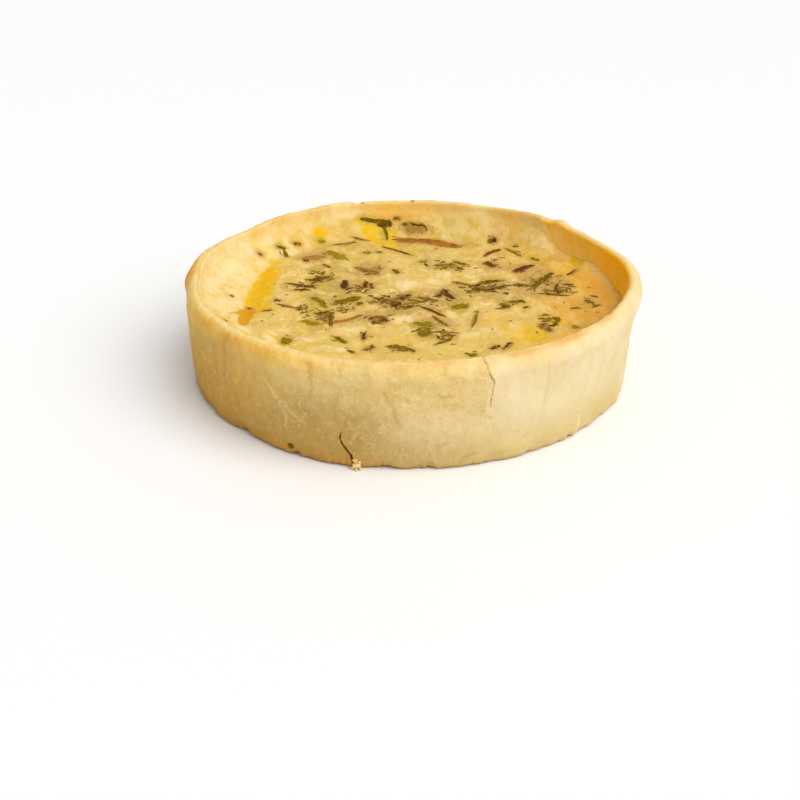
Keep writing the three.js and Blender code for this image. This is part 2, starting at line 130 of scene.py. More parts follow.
# Orange and brown marks on the rim: [angle, radius, half length in mm, half width, strength]
RIM_TOAST = [
    [98, 55.5, 7, 1.6, 0.7], [83, 56, 6, 1.8, 0.7], [136, 57, 5, 1.3, 0.8], [116, 56.5, 2.2, 1.6, 0.9],
    [274, 54.8, 5, 0.5, 0.6], [331, 54.2, 7, 0.8, 0.5], [209, 59.4, 7, 1, 0.9], [222, 59.4, 6, 0.9, 0.9],
    [232, 59, 5, 0.8, 0.6], [246, 59.2, 5, 0.6, 0.4], [176, 58, 7, 0.6, 0.8], [178.5, 60, 6, 2.6, 1.6],
    [20, 55.6, 8, 0.7, 0.4], [297, 57, 7, 1.1, 0.8], [312, 57, 8, 1.1, 0.9], [328, 57, 6, 0.9, 0.7],
    [262, 56.9, 5, 0.7, 0.6], [277, 57, 5, 0.8, 0.6], [246, 57, 6, 0.6, 0.4]]
# The parts of the case that show from outside, and those of its rim
OUTER, RIM = ["outside", "shoulder"], ["shoulder", "edge"]

# The custard
LEVEL = 20.8
FORWARD_FALL = -0.006  # the top stands a little higher at the front
BANK_RISE, BANK_FROM, BANK_TO, BANK_TOE, BANK_BEND = 6, 45, 208, 48, 1.3  # standing up against the wall
BANK_TOES = [[180, 38, -4.5], [90, 22, -1.5], [44, 13, 3.6]]
FURROW_DEPTH, FURROW_WIDTH, FURROW_FROM, FURROW_TO = 0.9, 2.6, 150, 206  # along the bank's foot
EDGE_RISE, EDGE_WIDTH = 0.4, 3.5  # the custard's own edge, where there is no bank
EDGE_SWELLS = [[6, 30, -1.7], [24, 8, 1.7]]
# Its broad lumps: [per mm along x, along y, phase, height]
LUMPS = [[0.42, 0.11, 1.3, 0.16], [-0.13, 0.47, 0.4, 0.08], [0.33, -0.5, 2, 0.08]]
CURD_STRETCH = 0.75  # the curds are longer from front to back
CREEP, CREEP_WIDTH = 0.6, 1.1  # how it stands up where it meets the bare wall
SEATED, EDGE_DROP = 0.25, 2.4  # how far its edge reaches into and down the wall, where no skin runs over it
# The skin of custard that runs over the inner edge of the rim, from the back right by the left to the front
COAT_FROM, COAT_TO, COAT_REACH = 45, 264, 1.9
SKIN_THICK, SKIN_THINNED = 0.24, 0.42  # at the wall, and how much lower it lies at its torn edge
COAT_SWELLS = [[258, 7, 0.6], [222, 26, -1.1], [176, 16, -0.7], [150, 16, 0.3], [52, 6, 0.5]]

# Spots on the custard, all [x, y, turn, half length, half width, strength]
# Melted cheese showing deep yellow, and its deepest pocket
CHEESE = [
    [-10.9, 51.2, 0, 5.6, 1.8, 1.9], [-9.4, 48.4, 0, 5, 2.3, 1.9], [-8.4, 44.8, -10, 4.8, 2.7, 1.9],
    [-6.6, 41, -20, 5, 1.9, 1.7], [0.2, 37.6, -38, 3.4, 1, 0.9], [-38, 25.3, 20, 3.6, 2, 0.8],
    [-26.7, 44.2, 15, 3.2, 2, 1], [-43, -13, 90, 6.5, 1.7, 1.1], [-40, -4.5, 84, 6.5, 3.6, 1.3],
    [-37.8, -8.4, 0, 3, 1.3, 1], [-39.6, 5, 86, 7, 3.2, 1.1], [-38.4, 14, 70, 4.5, 2.6, 0.9],
    [-7.5, 55.8, 0, 4, 1.3, 0.9], [7.1, 57.4, 0, 5, 1.2, 0.9], [47.2, 28, 80, 4.8, 2.3, 1.7],
    [42, 19.4, 50, 4, 2.4, 0.8], [31.1, -26.5, -20, 3.4, 2.5, 1.5], [34, -21.4, 60, 4.2, 1.9, 1.3],
    [38, -16, 40, 4, 1.3, 1.1], [28, -29.5, 0, 3.4, 1.6, 0.6], [21.2, -13.6, -70, 3.8, 1.2, 0.7],
    [23.6, -20.5, -72, 4.8, 1.4, 0.75], [26, -27.5, -69, 4, 1.7, 0.85], [30, -22, 60, 6, 5, 0.7],
    [30.6, 16.3, 20, 3, 1.4, 0.7], [-25.8, -18.5, 0, 3, 1.6, 0.7], [-33.4, -29, -60, 4.5, 1.5, 1.1],
    [17.3, -27.8, 0, 4, 2, 0.4], [-43.5, 20, 100, 5, 1.2, 0.5], [-33, -15, 20, 4, 1.4, 0.45],
    [5, 13, 10, 5, 2, 0.4], [28, -14, -20, 5, 2, 0.3], [-14, 28, 10, 6, 2, 0.4]]
POCKETS = [[-43, -9.5, 80, 4.5, 2.3, 1], [-43.1, -15.5, 92, 5, 1.4, 1.2], [-45.4, -12.4, 60, 3, 0.8, 0.7]]
# Pale soft lumps
CREAM = [
    [40.6, 40, -50, 3, 1.2, 1.3], [40.4, 35.6, 88, 3, 1, 1], [-2, 8, 0, 2.6, 4.5, 1.2],
    [6.5, 11.6, 0, 3.5, 3, 1], [-35.4, -28, -60, 4, 1.6, 1.2], [-34.7, 32.2, 40, 5, 2.6, 1],
    [-49, 14, 75, 5, 2.6, 1], [-0.6, 9.3, 10, 5, 4, 1], [-15.5, -21.7, 0, 5, 3, 0.9],
    [-2.8, -15.1, 10, 4, 3, 1], [-42.4, -23.3, -50, 4, 2, 1], [-19.9, -34.1, -10, 6, 2.4, 1.1],
    [-26, -28, -20, 4, 2.4, 0.9], [14.9, -24.7, 10, 4, 2.4, 0.9], [-30, 23, 30, 4, 2.4, 0.7],
    [-47, -2, 90, 5, 2, 0.8], [-20, 52, 20, 6, 2, 0.9], [14, 36, 0, 6, 3, 0.6], [20, 52, -20, 7, 2, 0.7],
    [38, 38, -40, 6, 2.4, 0.8], [-35.3, -23.7, -40, 3, 1, 0.9], [22, 17, 10, 4, 2, 0.5],
    [-10, 2, 20, 4, 2, 0.5], [-35, -2, 80, 6, 2.4, 0.6], [24, -24, 20, 5, 2, 0.5]]
# Golden-brown custard
TOAST = [
    [-38.5, 42.5, 60, 3.6, 2, 0.5], [-6, 54.2, -4, 7.5, 3, 1], [7, 57.2, -7, 4.5, 2, 1.1],
    [31, 48, -25, 6, 2.4, 0.8], [50, -1, 85, 14, 3.5, 1], [43, -8, 60, 12, 6, 0.6],
    [37.5, -27.5, 45, 12, 3, 0.7], [45, 12, 80, 9, 6, 0.7], [38, 4, 60, 10, 6, 0.3], [50, 12, 80, 6, 3, 1],
    [-2, -48, 0, 14, 1.2, 0.4], [-44, 33, 50, 4, 1.2, 0.5], [-10, 57.5, 5, 9, 1.2, 0.8],
    [12, 58.2, -8, 10, 1, 0.8], [30, 50, -30, 8, 1.2, 0.7], [33, 2, 10, 7, 3, 0.35]]

# Toppings: x, y, turn, length, width, tone from dark to light, and how far the middle bows out
LEAVES = [
    [-10.8, 51.8, 3, 9.4, 1.7, 0.12, 0.2], [-7.9, 51.4, 8, 4.8, 2.7, 0.06, 0],
    [-7.9, 48.3, -76, 5.6, 1.4, 0.3, 0.6], [-21.6, 32, -51, 8.3, 4.4, 0.95, 0],
    [-37, 33.4, 24, 3, 1.8, 0.45, 0], [-35.9, 31.4, -76, 4.7, 1.6, 0.4, 0],
    [-26.9, 19.4, -14, 3.2, 2, 0.9, 0], [-24.7, 13.3, 53, 8.5, 3, 0.4, 0.5],
    [-17, -1.9, 26, 8.1, 3.4, 0.5, -0.3], [-24.4, -3.3, -59, 9, 3.1, 0.6, 0.4],
    [-25.4, -17.2, -26, 5.9, 2.5, 0.85, -0.6], [-31.1, -28.3, 0, 3, 6, 0.9, 0],
    [-17.7, -28, -50, 4.9, 1.8, 0.4, 0.2], [-4.2, 19.1, -61, 3.5, 2, 0.5, 0],
    [12.8, -6.2, 35, 4.9, 3.9, 0.7, 0], [28.1, -2.7, -16, 4.9, 2.5, 0.35, 0.2],
    [25, -5.5, 0, 2.6, 3.9, 0.2, 0], [3.7, -24.4, 9, 4.3, 3.9, 0.5, 0.2],
    [3.1, -18.3, -37, 6.4, 3, 0.85, 0.3], [-1.7, -33.4, -24, 5.9, 2.6, 0.5, 0.4],
    [15.2, -36.9, 26, 2.8, 2.2, 0.5, 0], [29.4, 35.6, -58, 8.5, 1.3, 0.6, -0.5],
    [35, 28.8, -54, 3.9, 1.7, 0.4, 0.3], [21.3, 11.7, 14, 6.3, 2.9, 0.3, 0.2],
    [36, 12.2, 59, 13, 2.9, 0.3, 0.4], [-12.7, 34.6, -19, 2.5, 1.6, 0.5, 0],
    [-9.2, 34.6, -25, 1.9, 1.3, 0.45, 0], [13.9, 26.3, -46, 4.4, 2.6, 0.35, 0],
    [3.4, 27, 0, 2.3, 1.6, 0.5, 0], [-26.1, 41.7, 16, 2.1, 1.6, 0.9, 0],
    [37.4, -14.5, -14, 2.6, 2.9, 0.5, 0], [-17.3, -8.1, -14, 2.7, 1.8, 0.6, 0],
    [-6.9, -1.8, -38, 3.4, 2.2, 0.4, 0], [-28.6, -7.5, 11, 3.7, 2.5, 0.55, 0],
    [-8.7, -0.4, 12, 3.5, 2.5, 0.8, 0], [42.1, -19.1, -18, 2.1, 1.7, 0.6, 0]]
DARK_FLAKES = [
    [-4.4, 53, -2, 2, 0.9, 0.5, 0], [1, 50, -12, 5.4, 2.9, 1, 0], [0.7, 51.1, -10, 6.4, 0.9, 0.3, 0],
    [3.5, 50.2, -40, 3, 1.1, 0.35, 0.5], [-1.5, 51, -19, 2.5, 0.9, 0.3, 0], [0.4, 57, 0, 0.9, 1.1, 0.35, 0],
    [-14.5, 55.6, 0, 0.9, 0.9, 0.3, 0], [-12, 20.6, -26, 7.4, 3.6, 0.95, 0],
    [-13.7, 21.4, -47, 4.2, 1.3, 0.6, 0], [-11, 17.9, 29, 4.7, 1.3, 0.6, 0],
    [-27.8, 30.2, 6, 7.6, 3.2, 1, 0.2], [-29.8, 28.4, 0, 1.7, 1.7, 0.25, 0],
    [-24.8, 14.1, 39, 6.1, 2.2, 0.25, 0.3], [-28.4, 7.7, 0, 4.6, 1.7, 0.12, 0],
    [-18.1, 8.9, 90, 6.6, 2.2, 0.12, 0], [-12.4, 9.3, 89, 5.9, 1.8, 0.1, 0],
    [-10.8, 8.6, -85, 4.4, 1.3, 0.5, 0], [-22.8, -10.5, 45, 3.8, 2.2, 0.3, 0.3],
    [-20.9, -14.5, -87, 9.3, 1.6, 0.45, 0.2], [-9.4, -14.8, 14, 2.9, 2.4, 0.35, 0],
    [-7.2, -15.1, -45, 3.7, 1.8, 0.2, 0], [-4, -4.3, 24, 3.5, 4.6, 0.05, 0],
    [-1.7, -0.4, 51, 4.6, 2.5, 0.2, 0], [-0.8, -6.3, 24, 3.4, 2.5, 0.1, 0],
    [8.3, 3.6, 63, 4.9, 2.9, 0.1, 0], [10.2, 2.2, -66, 6.2, 2.1, 0.12, -0.2],
    [30, 8.8, 0, 4.6, 2.4, 0.25, 0.2], [17.8, 9.1, 48, 3, 2.2, 0.12, 0],
    [21.6, 6.2, 15, 8.5, 1.6, 0.15, 0.5], [20.8, -32.4, 36, 3.2, 1.6, 0.2, 0],
    [24, -32, 54, 4.5, 1.1, 0.15, 0.4], [34.5, -20.1, -65, 5.7, 2.3, 0.45, 0.3],
    [-7.2, -15.8, 41, 2, 2.4, 0.12, 0], [23.7, 43.5, -9, 2.6, 2.1, 0.3, 0],
    [30.4, 39.8, -16, 1.8, 1, 0.5, 0], [38.6, 17.8, 54, 3.8, 1.4, 0.1, 0],
    [-11.9, -25.8, 88, 4.4, 1.3, 0.2, 0], [-14.8, -35.3, -34, 2.1, 1.1, 0.15, 0],
    [-10.3, -33.2, 44, 2.7, 1.3, 0.5, 0], [-3.6, -31.6, 36, 2.1, 1.4, 0.4, 0],
    [-35.6, -1.6, -39, 2.2, 1.6, 0.25, 0], [-33, 37.6, 21, 2.4, 1.1, 0.4, 0],
    [-42.6, 26.8, 18, 1.1, 1, 0.4, 0], [-47.4, -2.9, 18, 1, 1, 0.5, 0],
    [-47.3, -20.8, -11, 1.3, 1.1, 0.35, 0], [-42.7, -5.5, 35, 1.2, 1.3, 0.6, 0],
    [-13.5, -4.7, 24, 1.7, 1.7, 0.15, 0], [-19.3, 42.1, 22, 6.8, 1.3, 0.5, 0.2],
    [49, 2, -19, 2.2, 1, 0.25, 0]]
STALKS = [
    [-4, 36.3, -38, 12.1, 1.08, 0.2, -0.6], [14.7, 9.4, -30, 8.7, 1.2, 0.45, 0.1],
    [5.7, -9.7, -43, 9.9, 1.2, 0.1, 0], [7.6, -16.3, -62, 8.9, 1.44, 0.6, 0],
    [16.4, -14.9, 78, 10.8, 0.54, 0.6, -0.3], [8.1, -29.1, 41, 5.7, 1.08, 0.45, -0.5],
    [-14.6, 45, -16, 5.8, 0.6, 0.5, 0.2], [-30.6, 8.8, -26, 8.4, 0.84, 0.2, 0.3],
    [-29.4, 5.2, 9, 4.9, 1.08, 0.15, -0.2], [-32.9, -6.1, -32, 6.5, 0.84, 0.35, -0.3],
    [-37.7, -8.6, 0, 2.6, 0.72, 0.4, 0.1], [-23.7, 22.9, -49, 4.1, 0.72, 0.3, 0.2],
    [39.3, 6.7, 87, 8.8, 0.84, 0.12, -0.2], [38.2, 2.7, -12, 10, 0.66, 0.4, -0.7],
    [44.6, 18.3, 59, 6.3, 0.96, 0.4, 0.4], [42.7, 9.6, 0, 3.3, 0.84, 0.35, 0.2],
    [47.5, -3.3, 35, 2.4, 0.72, 0.4, 0.2], [48.4, -5.7, 49, 2.7, 0.72, 0.5, 0.1],
    [42.9, -6.8, 0, 2.4, 0.84, 0.45, 0], [30.1, -6.5, 27, 1.5, 0.72, 0.4, 0],
    [4.3, -0.7, -13, 6, 0.72, 0.3, 0.2]]
ONIONS = [
    [5.4, 43.1, -17, 20, 4.2, 0.8, -0.3], [23.4, 34.4, 52, 8.4, 1.7, 0.35, 0.2],
    [22.1, 24.7, -64, 5.3, 2.6, 0.25, 0], [31.7, 21.3, 41, 8.3, 2.4, 0, 0.9],
    [-16.2, -14.5, 28, 8.6, 1.2, 0.85, -0.5]]
# Tangles of thin slivers, only in the looks: x, y, half spread along x, along y, how dense
TANGLES = [
    [-2.6, -3.6, 4.2, 5.2, 1], [20.5, 6.5, 5.4, 4, 0.8], [35.9, 12.5, 3.8, 4.6, 0.7],
    [8.8, -24.7, 2, 2.5, 0.5], [9.8, 23.9, 5.1, 3.4, 0.6], [-24.5, 14.4, 3.3, 3.8, 0.5],
    [-29.9, 7.7, 3.3, 2, 0.4], [-22.3, -12.5, 2.6, 4.2, 0.5], [4.5, -1.4, 4, 2.6, 0.5],
    [-8.5, -15.1, 2.6, 2.6, 0.5], [-14.9, 6.3, 3.2, 2.9, 0.4], [-2.7, -32.8, 2.7, 1.8, 0.3],
    [-8.8, -1.5, 2.7, 3.5, 0.3], [-11.5, 20.6, 3.3, 3.6, 0.22], [39.6, 5.2, 3.8, 3.4, 0.5],
    [25.6, -4.1, 2.1, 2.8, 0.3], [3.6, -20.3, 2.5, 3.9, 0.4], [47.8, -4, 1.8, 4, 0.2],
    [35.1, -17.5, 2, 3.3, 0.25], [25.1, 27.1, 4.5, 4.8, 0.15], [-18.7, -5, 5.3, 5.5, 0.3],
    [-29, -8.5, 4.2, 4.1, 0.2]]
BIT_COUNT = 150  # fine specks of herb, strewn at random
# Custard tinted by what lies just under it: x, y, half extent along x, along y, strength
OLIVE_VEILS = [
    [-21.8, 32, 3.5, 4.4, 0.5], [-26.8, 20.5, 2.2, 2.3, 0.7], [-20.1, 20.6, 2.2, 2.3, 0.7],
    [-24.1, 12.2, 3.3, 4.5, 0.9], [-22.7, 6.3, 2.2, 2.2, 0.6], [-17.8, -1.5, 4.8, 3.5, 0.7],
    [-24.4, -3, 2.7, 5.6, 0.7], [-10.1, -0.1, 2.1, 3.5, 0.6], [-24.1, -21.1, 2, 1.9, 0.5],
    [3.8, -19, 2.6, 3.2, 0.7], [37, 13.3, 3, 4.5, 0.8], [22.6, 10.2, 3.3, 3.7, 0.8],
    [12.4, -5.6, 2.4, 4.1, 0.7], [25.5, -0.6, 2.1, 2.8, 0.5], [-6.7, -12.5, 1.8, 2.7, 0.7],
    [-0.5, 0.7, 2.4, 3.5, 0.6], [9.8, 22.3, 3.4, 3.1, 0.6], [35.2, -16.2, 2.1, 2.6, 0.5],
    [-2.7, -33.4, 3, 2.4, 0.5], [-31.2, -28.7, 1.7, 3.1, 0.6]]
TAWNY_VEILS = [
    [-27.1, 30.8, 4, 3.2, 0.9], [-12, 20.6, 3.6, 4.6, 0.7], [-9.8, -13.8, 2.3, 3.3, 0.8],
    [-22.6, -11.2, 1.8, 2.7, 0.7], [-17, -15.8, 3.3, 2.6, 0.5], [0.8, 50.1, 3.8, 1.9, 0.8],
    [13.5, 5, 4.6, 3.6, 0.6], [20.5, 5.1, 5.4, 4.3, 0.8], [34, 5.9, 6.5, 4.4, 0.7], [36, 12, 5, 5.5, 0.9],
    [31.7, 21, 4, 3.6, 0.8], [22.3, 24.5, 2.6, 3.6, 0.8], [5, 42.4, 10, 2.4, 0.6],
    [5.2, -7.7, 4.5, 4.8, 0.5], [7.4, -17, 2.6, 4.6, 0.5], [-16.6, 8.5, 3.5, 3.7, 0.8],
    [-11.2, 8.6, 2.2, 3.7, 0.6], [-3.7, -4.3, 3.4, 5.6, 1], [7.8, 1.4, 3.2, 4.3, 0.9],
    [48.4, -3.3, 2.6, 4.9, 0.5], [11.2, 24.7, 2.8, 2.4, 0.4], [22.5, 30.3, 2.3, 3.2, 0.4],
    [9.6, -24.7, 2.3, 3.2, 0.6], [-20, -6.4, 6.8, 6.9, 0.3], [-2.9, -3, 8, 8, 0.2]]

# How finely the pieces are divided: the case by degrees round it and by rows, the custard by rings
BACK_STEP, FRONT_STEP, CRACK_STEP, LIP_STEP, LEAST_STEP = 0.65, 0.4, 0.12, 0.2, 0.08
FRONT_FROM, FRONT_TO = 186, 358
WALL_ROWS, SHOULDER_ROWS, EDGE_ROWS, INSIDE_ROWS = 66, 17, 8, 12
TOP_RINGS, EDGE_RINGS = 154, 12

# Light and camera, in metres and degrees, with the lens and its sensor in millimetres
FLOOR_REACH = 12
LIGHT_POWER, LIGHT_SPREAD, LIGHT_COLOUR = 2.45, 58, (1, 0.985, 0.96)
LIGHT_AZIMUTH, LIGHT_ELEVATION = -40, 52
SKY_POWER = 0.58
LENS, SENSOR = 67.5, 36
CAMERA_PLACE = (0, -0.3706, 0.1738)
CAMERA_FORWARD, CAMERA_RIGHT = (-0.00717, 0.89623, -0.44353), (0.99997, 0.00759, -0.00082)


# ---- Shape rules that the solids share ----
def smooth(low, high, value):
    """0 below low, 1 above high and smooth between."""
    share = np.clip((value - low) / (high - low), 0, 1)
    return share * share * (3 - 2 * share)


def band(value, start, full, fading, end):
    """1 between full and fading, and 0 beyond start and end."""
    return smooth(start, full, value) * (1 - smooth(fading, end, value))


def turn(angle, start):
    """How far an angle is turned from the start, from -180 to 180."""
    return (angle - start + 180) % 360 - 180


def near(angle, middle, width, power=4):
    """1 at the middle angle, falling to 0 beyond a width on both sides."""
    return np.exp(-((turn(angle, middle) / width) ** power))


def swell(angle, swells):
    return sum(size * near(angle, at, width, 2) for at, width, size in swells)


def angle_and_radius(x, y):
    return np.degrees(np.arctan2(y, x)) % 360, np.hypot(x, y)


def plain_radius(angle, height):
    share = height / HEIGHT
    lean = FOOT_RADIUS + (RIM_RADIUS - FOOT_RADIUS) * share
    return lean + (1 - share) * swell(angle, FOOT_SWELLS) + share * swell(angle, RIM_SWELLS)


def inner_radius(angle, height):
    return plain_radius(angle, height) - WALL - swell(angle, WALL_SWELLS)


def outer_radius(angle, height):
    a = np.radians(angle)
    relief = 0.1 * np.sin(9 * a + 0.31 * height) + 0.09 * np.sin(17 * a - 0.42 * height + 2)
    chips = swell(angle, FOOT_CHIPS) * (1 - smooth(0.5, CHIP_HEIGHT, height))
    bulge = (BULGE + swell(angle, BULGE_SWELLS)) * np.sin(math.pi * height / HEIGHT)
    flare = swell(angle, FLARES) * smooth(FLARE_FROM, FLARE_TO, height)
    lip = LIP_SIZE * band(angle, LIP_FROM, LIP_FROM + 12, LIP_TO - SHARP, LIP_TO)
    lip = lip * (1 - smooth(0.4 * LIP_HEIGHT, LIP_HEIGHT, height))
    return plain_radius(angle, height) + bulge + flare + relief + chips + lip


def rim_height(angle):
    a = np.radians(angle)
    return HEIGHT + swell(angle, RIM_CRESTS) + 0.1 * np.sin(5 * a + 1) + 0.07 * np.sin(14 * a)


def crest_radius(angle):
    return inner_radius(angle, rim_height(angle) - INNER_ROUND) + CREST


def rim_surface(angle, radius):
    """The height of the rim's plain top, beyond the inside of the wall."""
    top, crest = rim_height(angle), crest_radius(angle)
    within = np.clip((crest - radius) / CREST, 0, 1)
    beyond = np.clip((radius - crest) / (outer_radius(angle, top - SHOULDER) - crest), 0, 1)
    return top - INNER_ROUND * (1 - np.sqrt(1 - within**2)) - SHOULDER * (1 - np.sqrt(1 - beyond**2))


def bank_share(angle):
    return band(angle, BANK_FROM - 6, BANK_FROM + 5, BANK_TO - 16, BANK_TO + 18)


def bank_toe(angle):
    return BANK_TOE + swell(angle, BANK_TOES)


def furrow(angle, radius):
    along = band(angle, FURROW_FROM, FURROW_FROM + 12, FURROW_TO - 12, FURROW_TO)
    return along * np.exp(-(((radius - bank_toe(angle) + 0.5) / FURROW_WIDTH) ** 2))


def custard_wall(angle):
    return inner_radius(angle, LEVEL + BANK_RISE * bank_share(angle))


def custard_height(x, y):
    angle, radius = angle_and_radius(x, y)
    wall, toe, bank = custard_wall(angle), bank_toe(angle), bank_share(angle)
    lumps = sum(size * np.sin(ax * x + ay * y + phase) for ax, ay, phase, size in LUMPS)
    sunk = np.exp((np.minimum(radius, wall) - wall) / EDGE_WIDTH)
    edge = (EDGE_RISE + swell(angle, EDGE_SWELLS)) * (1 - bank) * sunk
    climb = BANK_RISE * bank * np.clip((radius - toe) / (wall - toe), 0, 1) ** BANK_BEND
    return LEVEL + FORWARD_FALL * y + lumps + climb + edge - FURROW_DEPTH * furrow(angle, radius)


# ---- Random relief, spots and lines ----
def grain(points, size, octaves, seed):
    """Soft relief from about -1 to 1 at each point, its largest lumps about `size` mm wide."""
    shift = Vector((seed * 17.3, seed * 5.1, seed * 9.7))
    flat = np.asarray(points, float).reshape(-1, 3)
    found = (noise.fractal(Vector(p) + shift, 0.9, 2.0, octaves) for p in flat / size)
    return np.fromiter(found, float, len(flat)).reshape(np.shape(points)[:-1])


def ridges(points, size, seed):
    """1 on thin winding lines, falling to 0 between them."""
    return np.clip(1 - 3.2 * np.abs(grain(points, size, 2, seed)), 0, 1)


def oval(along, across, length, width, power):
    """1 in the middle of a soft oval, and 0 beyond its edge."""
    return np.exp(-(((along / length) ** 2 + (across / width) ** 2) ** power))


def bearing(degrees):
    """The step along x and along y in a direction."""
    return math.cos(math.radians(degrees)), math.sin(math.radians(degrees))


def spots(x, y, rows):
    """The strongest of some soft oval spots on the custard."""
    shown = np.zeros(np.shape(x))
    for cx, cy, degrees, length, width, strength in rows:
        c, s = bearing(degrees)
        along, across = (x - cx) * c + (y - cy) * s, (y - cy) * c - (x - cx) * s
        shown = np.maximum(shown, strength * oval(along, across, length, width, 1.3))
    return shown


def along_rim(angle, middle):
    """Distance round the rim from an angle, in mm."""
    return np.radians(turn(angle, middle)) * RIM_RADIUS


def crust_spots(around, place, rows):
    """The strongest of some soft oval spots on the crust, whose place is a height or a radius."""
    shown = np.zeros(np.shape(place))
    for angle, at, length, width, strength in rows:
        shown = np.maximum(shown, strength * oval(along_rim(around, angle), place - at, length, width, 1.2))
    return shown


def line_near(angle, height, path, jag=0.25):
    """Distance to a jagged line on the wall, as a multiple of the line's half width."""
    middle = path[0][0]
    found = np.full(np.shape(angle), 99.0)
    close = np.abs(turn(angle, middle)) < LINE_SPAN
    angle, height = angle[close], height[close]
    along = along_rim(angle, middle)
    along = along + jag * grain(np.stack([0 * along, 0 * along, height], -1), 1.1, 2, middle)
    nearest = np.full(np.shape(angle), 99.0)
    for (a0, h0, w0), (a1, h1, w1) in zip(path, path[1:]):
        x0, x1 = (math.radians(a - middle) * RIM_RADIUS for a in (a0, a1))
        span = (x1 - x0) ** 2 + (h1 - h0) ** 2
        share = np.clip(((along - x0) * (x1 - x0) + (height - h0) * (h1 - h0)) / span, 0, 1)
        away = np.hypot(along - x0 - share * (x1 - x0), height - h0 - share * (h1 - h0))
        nearest = np.minimum(nearest, away / ((w0 + share * (w1 - w0)) / 2))
    found[close] = nearest
    return found


# ---- Mesh building ----
def polar(angle, radius, height):
    a = np.radians(angle)
    return np.stack([radius * np.cos(a), radius * np.sin(a), height + 0 * a], -1)


def piece(name, points, faces, node, finish, traits):
    """A mesh from points in millimetres, riding on the quiche in place of one of its solids."""
    mesh = bpy.data.meshes.new(name)
    mesh.from_pydata((np.asarray(points) * MM).tolist(), [], [list(map(int, face)) for face in faces])
    for trait, values in traits.items():
        layer = mesh.attributes.new(trait, "FLOAT", "POINT")
        layer.data.foreach_set("value", np.asarray(values, np.float32))
    mesh.materials.append(finish)
    mesh.polygons.foreach_set("use_smooth", [True] * len(mesh.polygons))
    mesh.update()
    made = bpy.data.objects.new(name, mesh)
    bpy.context.scene.collection.objects.link(made)
    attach(made, "root")
    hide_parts(node)


def grid_faces(columns, rows):
    """Quads of a grid of points that closes on itself round its columns."""
    column, row = np.meshgrid(np.arange(columns), np.arange(rows - 1), indexing="ij")
    here, beside = column * rows + row, (column + 1) % columns * rows + row
    return np.stack([here, beside, beside + 1, here + 1], -1).reshape(-1, 4)


def grid_normals(points):
    """Normals of a grid of points, closed round its first axis."""
    across = np.roll(points, -1, 0) - np.roll(points, 1, 0)
    along = np.gradient(points, axis=1)
    normals = np.cross(across, along)
    return normals / np.maximum(np.linalg.norm(normals, axis=-1, keepdims=True), 1e-9)


# ---- The pastry case ----
def case_angles():
    """Angles that lie closer together on the front, and closest across the cracks and the lip's end."""
    angles = [np.arange(0, FRONT_FROM, BACK_STEP), np.arange(FRONT_FROM, FRONT_TO, FRONT_STEP),
              np.arange(FRONT_TO + FRONT_STEP, 360, BACK_STEP)]
    for path in (FOOT_CRACK, RIM_CRACK):
        places = [row[0] for row in path]
        angles.append(np.arange(min(places) - 1.2, max(places) + 1.2, CRACK_STEP))
    angles.append(np.arange(LIP_TO - SHARP, LIP_TO, LIP_STEP))
    angles = np.unique(np.round(np.concatenate(angles), 3))
    return angles[np.append(True, np.diff(angles) > LEAST_STEP)]


def stepped(end, count):
    """Even steps from just above 0 up to the end."""
    return np.linspace(0, end, count + 1)[1:]


def case_grid(angles):
    """Points [angle, row] of the plain case, and the part of it that each row belongs to."""
    top = rim_height(angles)
    edge = top - SHOULDER
    rows, kinds = [], []

    def row(radius, height, kind):
        rows.append(polar(angles, radius, height))
        kinds.append(kind)

    foot = outer_radius(angles, 0)
    for share in (0.3, 0.6, 0.8, 0.93, 1):
        row((foot - FOOT_ROUND) * share, 0, "foot")
    for bend in np.radians([22, 45, 67, 90]):
        side = outer_radius(angles, FOOT_ROUND * (1 - math.cos(bend)))
        row(side - FOOT_ROUND * (1 - math.sin(bend)), FOOT_ROUND * (1 - math.cos(bend)), "outside")
    for share in stepped(1, WALL_ROWS):
        height = FOOT_ROUND + share * (edge - FOOT_ROUND)
        row(outer_radius(angles, height), height, "outside")
    outside, crest = outer_radius(angles, edge), crest_radius(angles)
    for bend in stepped(math.pi / 2, SHOULDER_ROWS):
        row(crest + (outside - crest) * math.cos(bend), edge + SHOULDER * math.sin(bend), "shoulder")
    for bend in stepped(math.pi / 2, EDGE_ROWS):
        row(crest - CREST * math.sin(bend), top - INNER_ROUND * (1 - math.cos(bend)), "edge")
    for share in stepped(1, INSIDE_ROWS):
        height = top - INNER_ROUND + share * (FINE_ABOVE - top + INNER_ROUND)
        row(inner_radius(angles, height), height, "inside")
    row(inner_radius(angles, FLOOR + FOOT_ROUND), FLOOR + FOOT_ROUND, "hidden")
    row(inner_radius(angles, FLOOR) - FOOT_ROUND, FLOOR, "hidden")
    return np.stack(rows, 1), np.array(kinds)


def coat_share(angle):
    return band(angle, COAT_FROM - 3.5, COAT_FROM + 4, COAT_TO - 3, COAT_TO + 3)


def coat_reach(angle):
    """How far beyond the inside of the wall the skin of custard runs."""
    a = np.radians(angle)
    ragged = 0.22 * np.sin(23 * a + 1) + 0.2 * np.sin(41 * a + 2 * np.sin(7 * a)) + 0.12 * np.sin(83 * a)
    ragged = ragged * (1 - 0.6 * smooth(155, 190, angle))
    return coat_share(angle) * (COAT_REACH + swell(angle, COAT_SWELLS) + ragged)


def ragged_foot(around, height):
    """Small lumps and bites along the foot of the wall."""
    place = polar(around, RIM_RADIUS, 0)
    lumps = grain(place, 3.2, 3, 60) + 0.5 * grain(place, 1.4, 2, 61)
    return FOOT_RAGGED * lumps * (1 - smooth(0.3, 3.2, height))


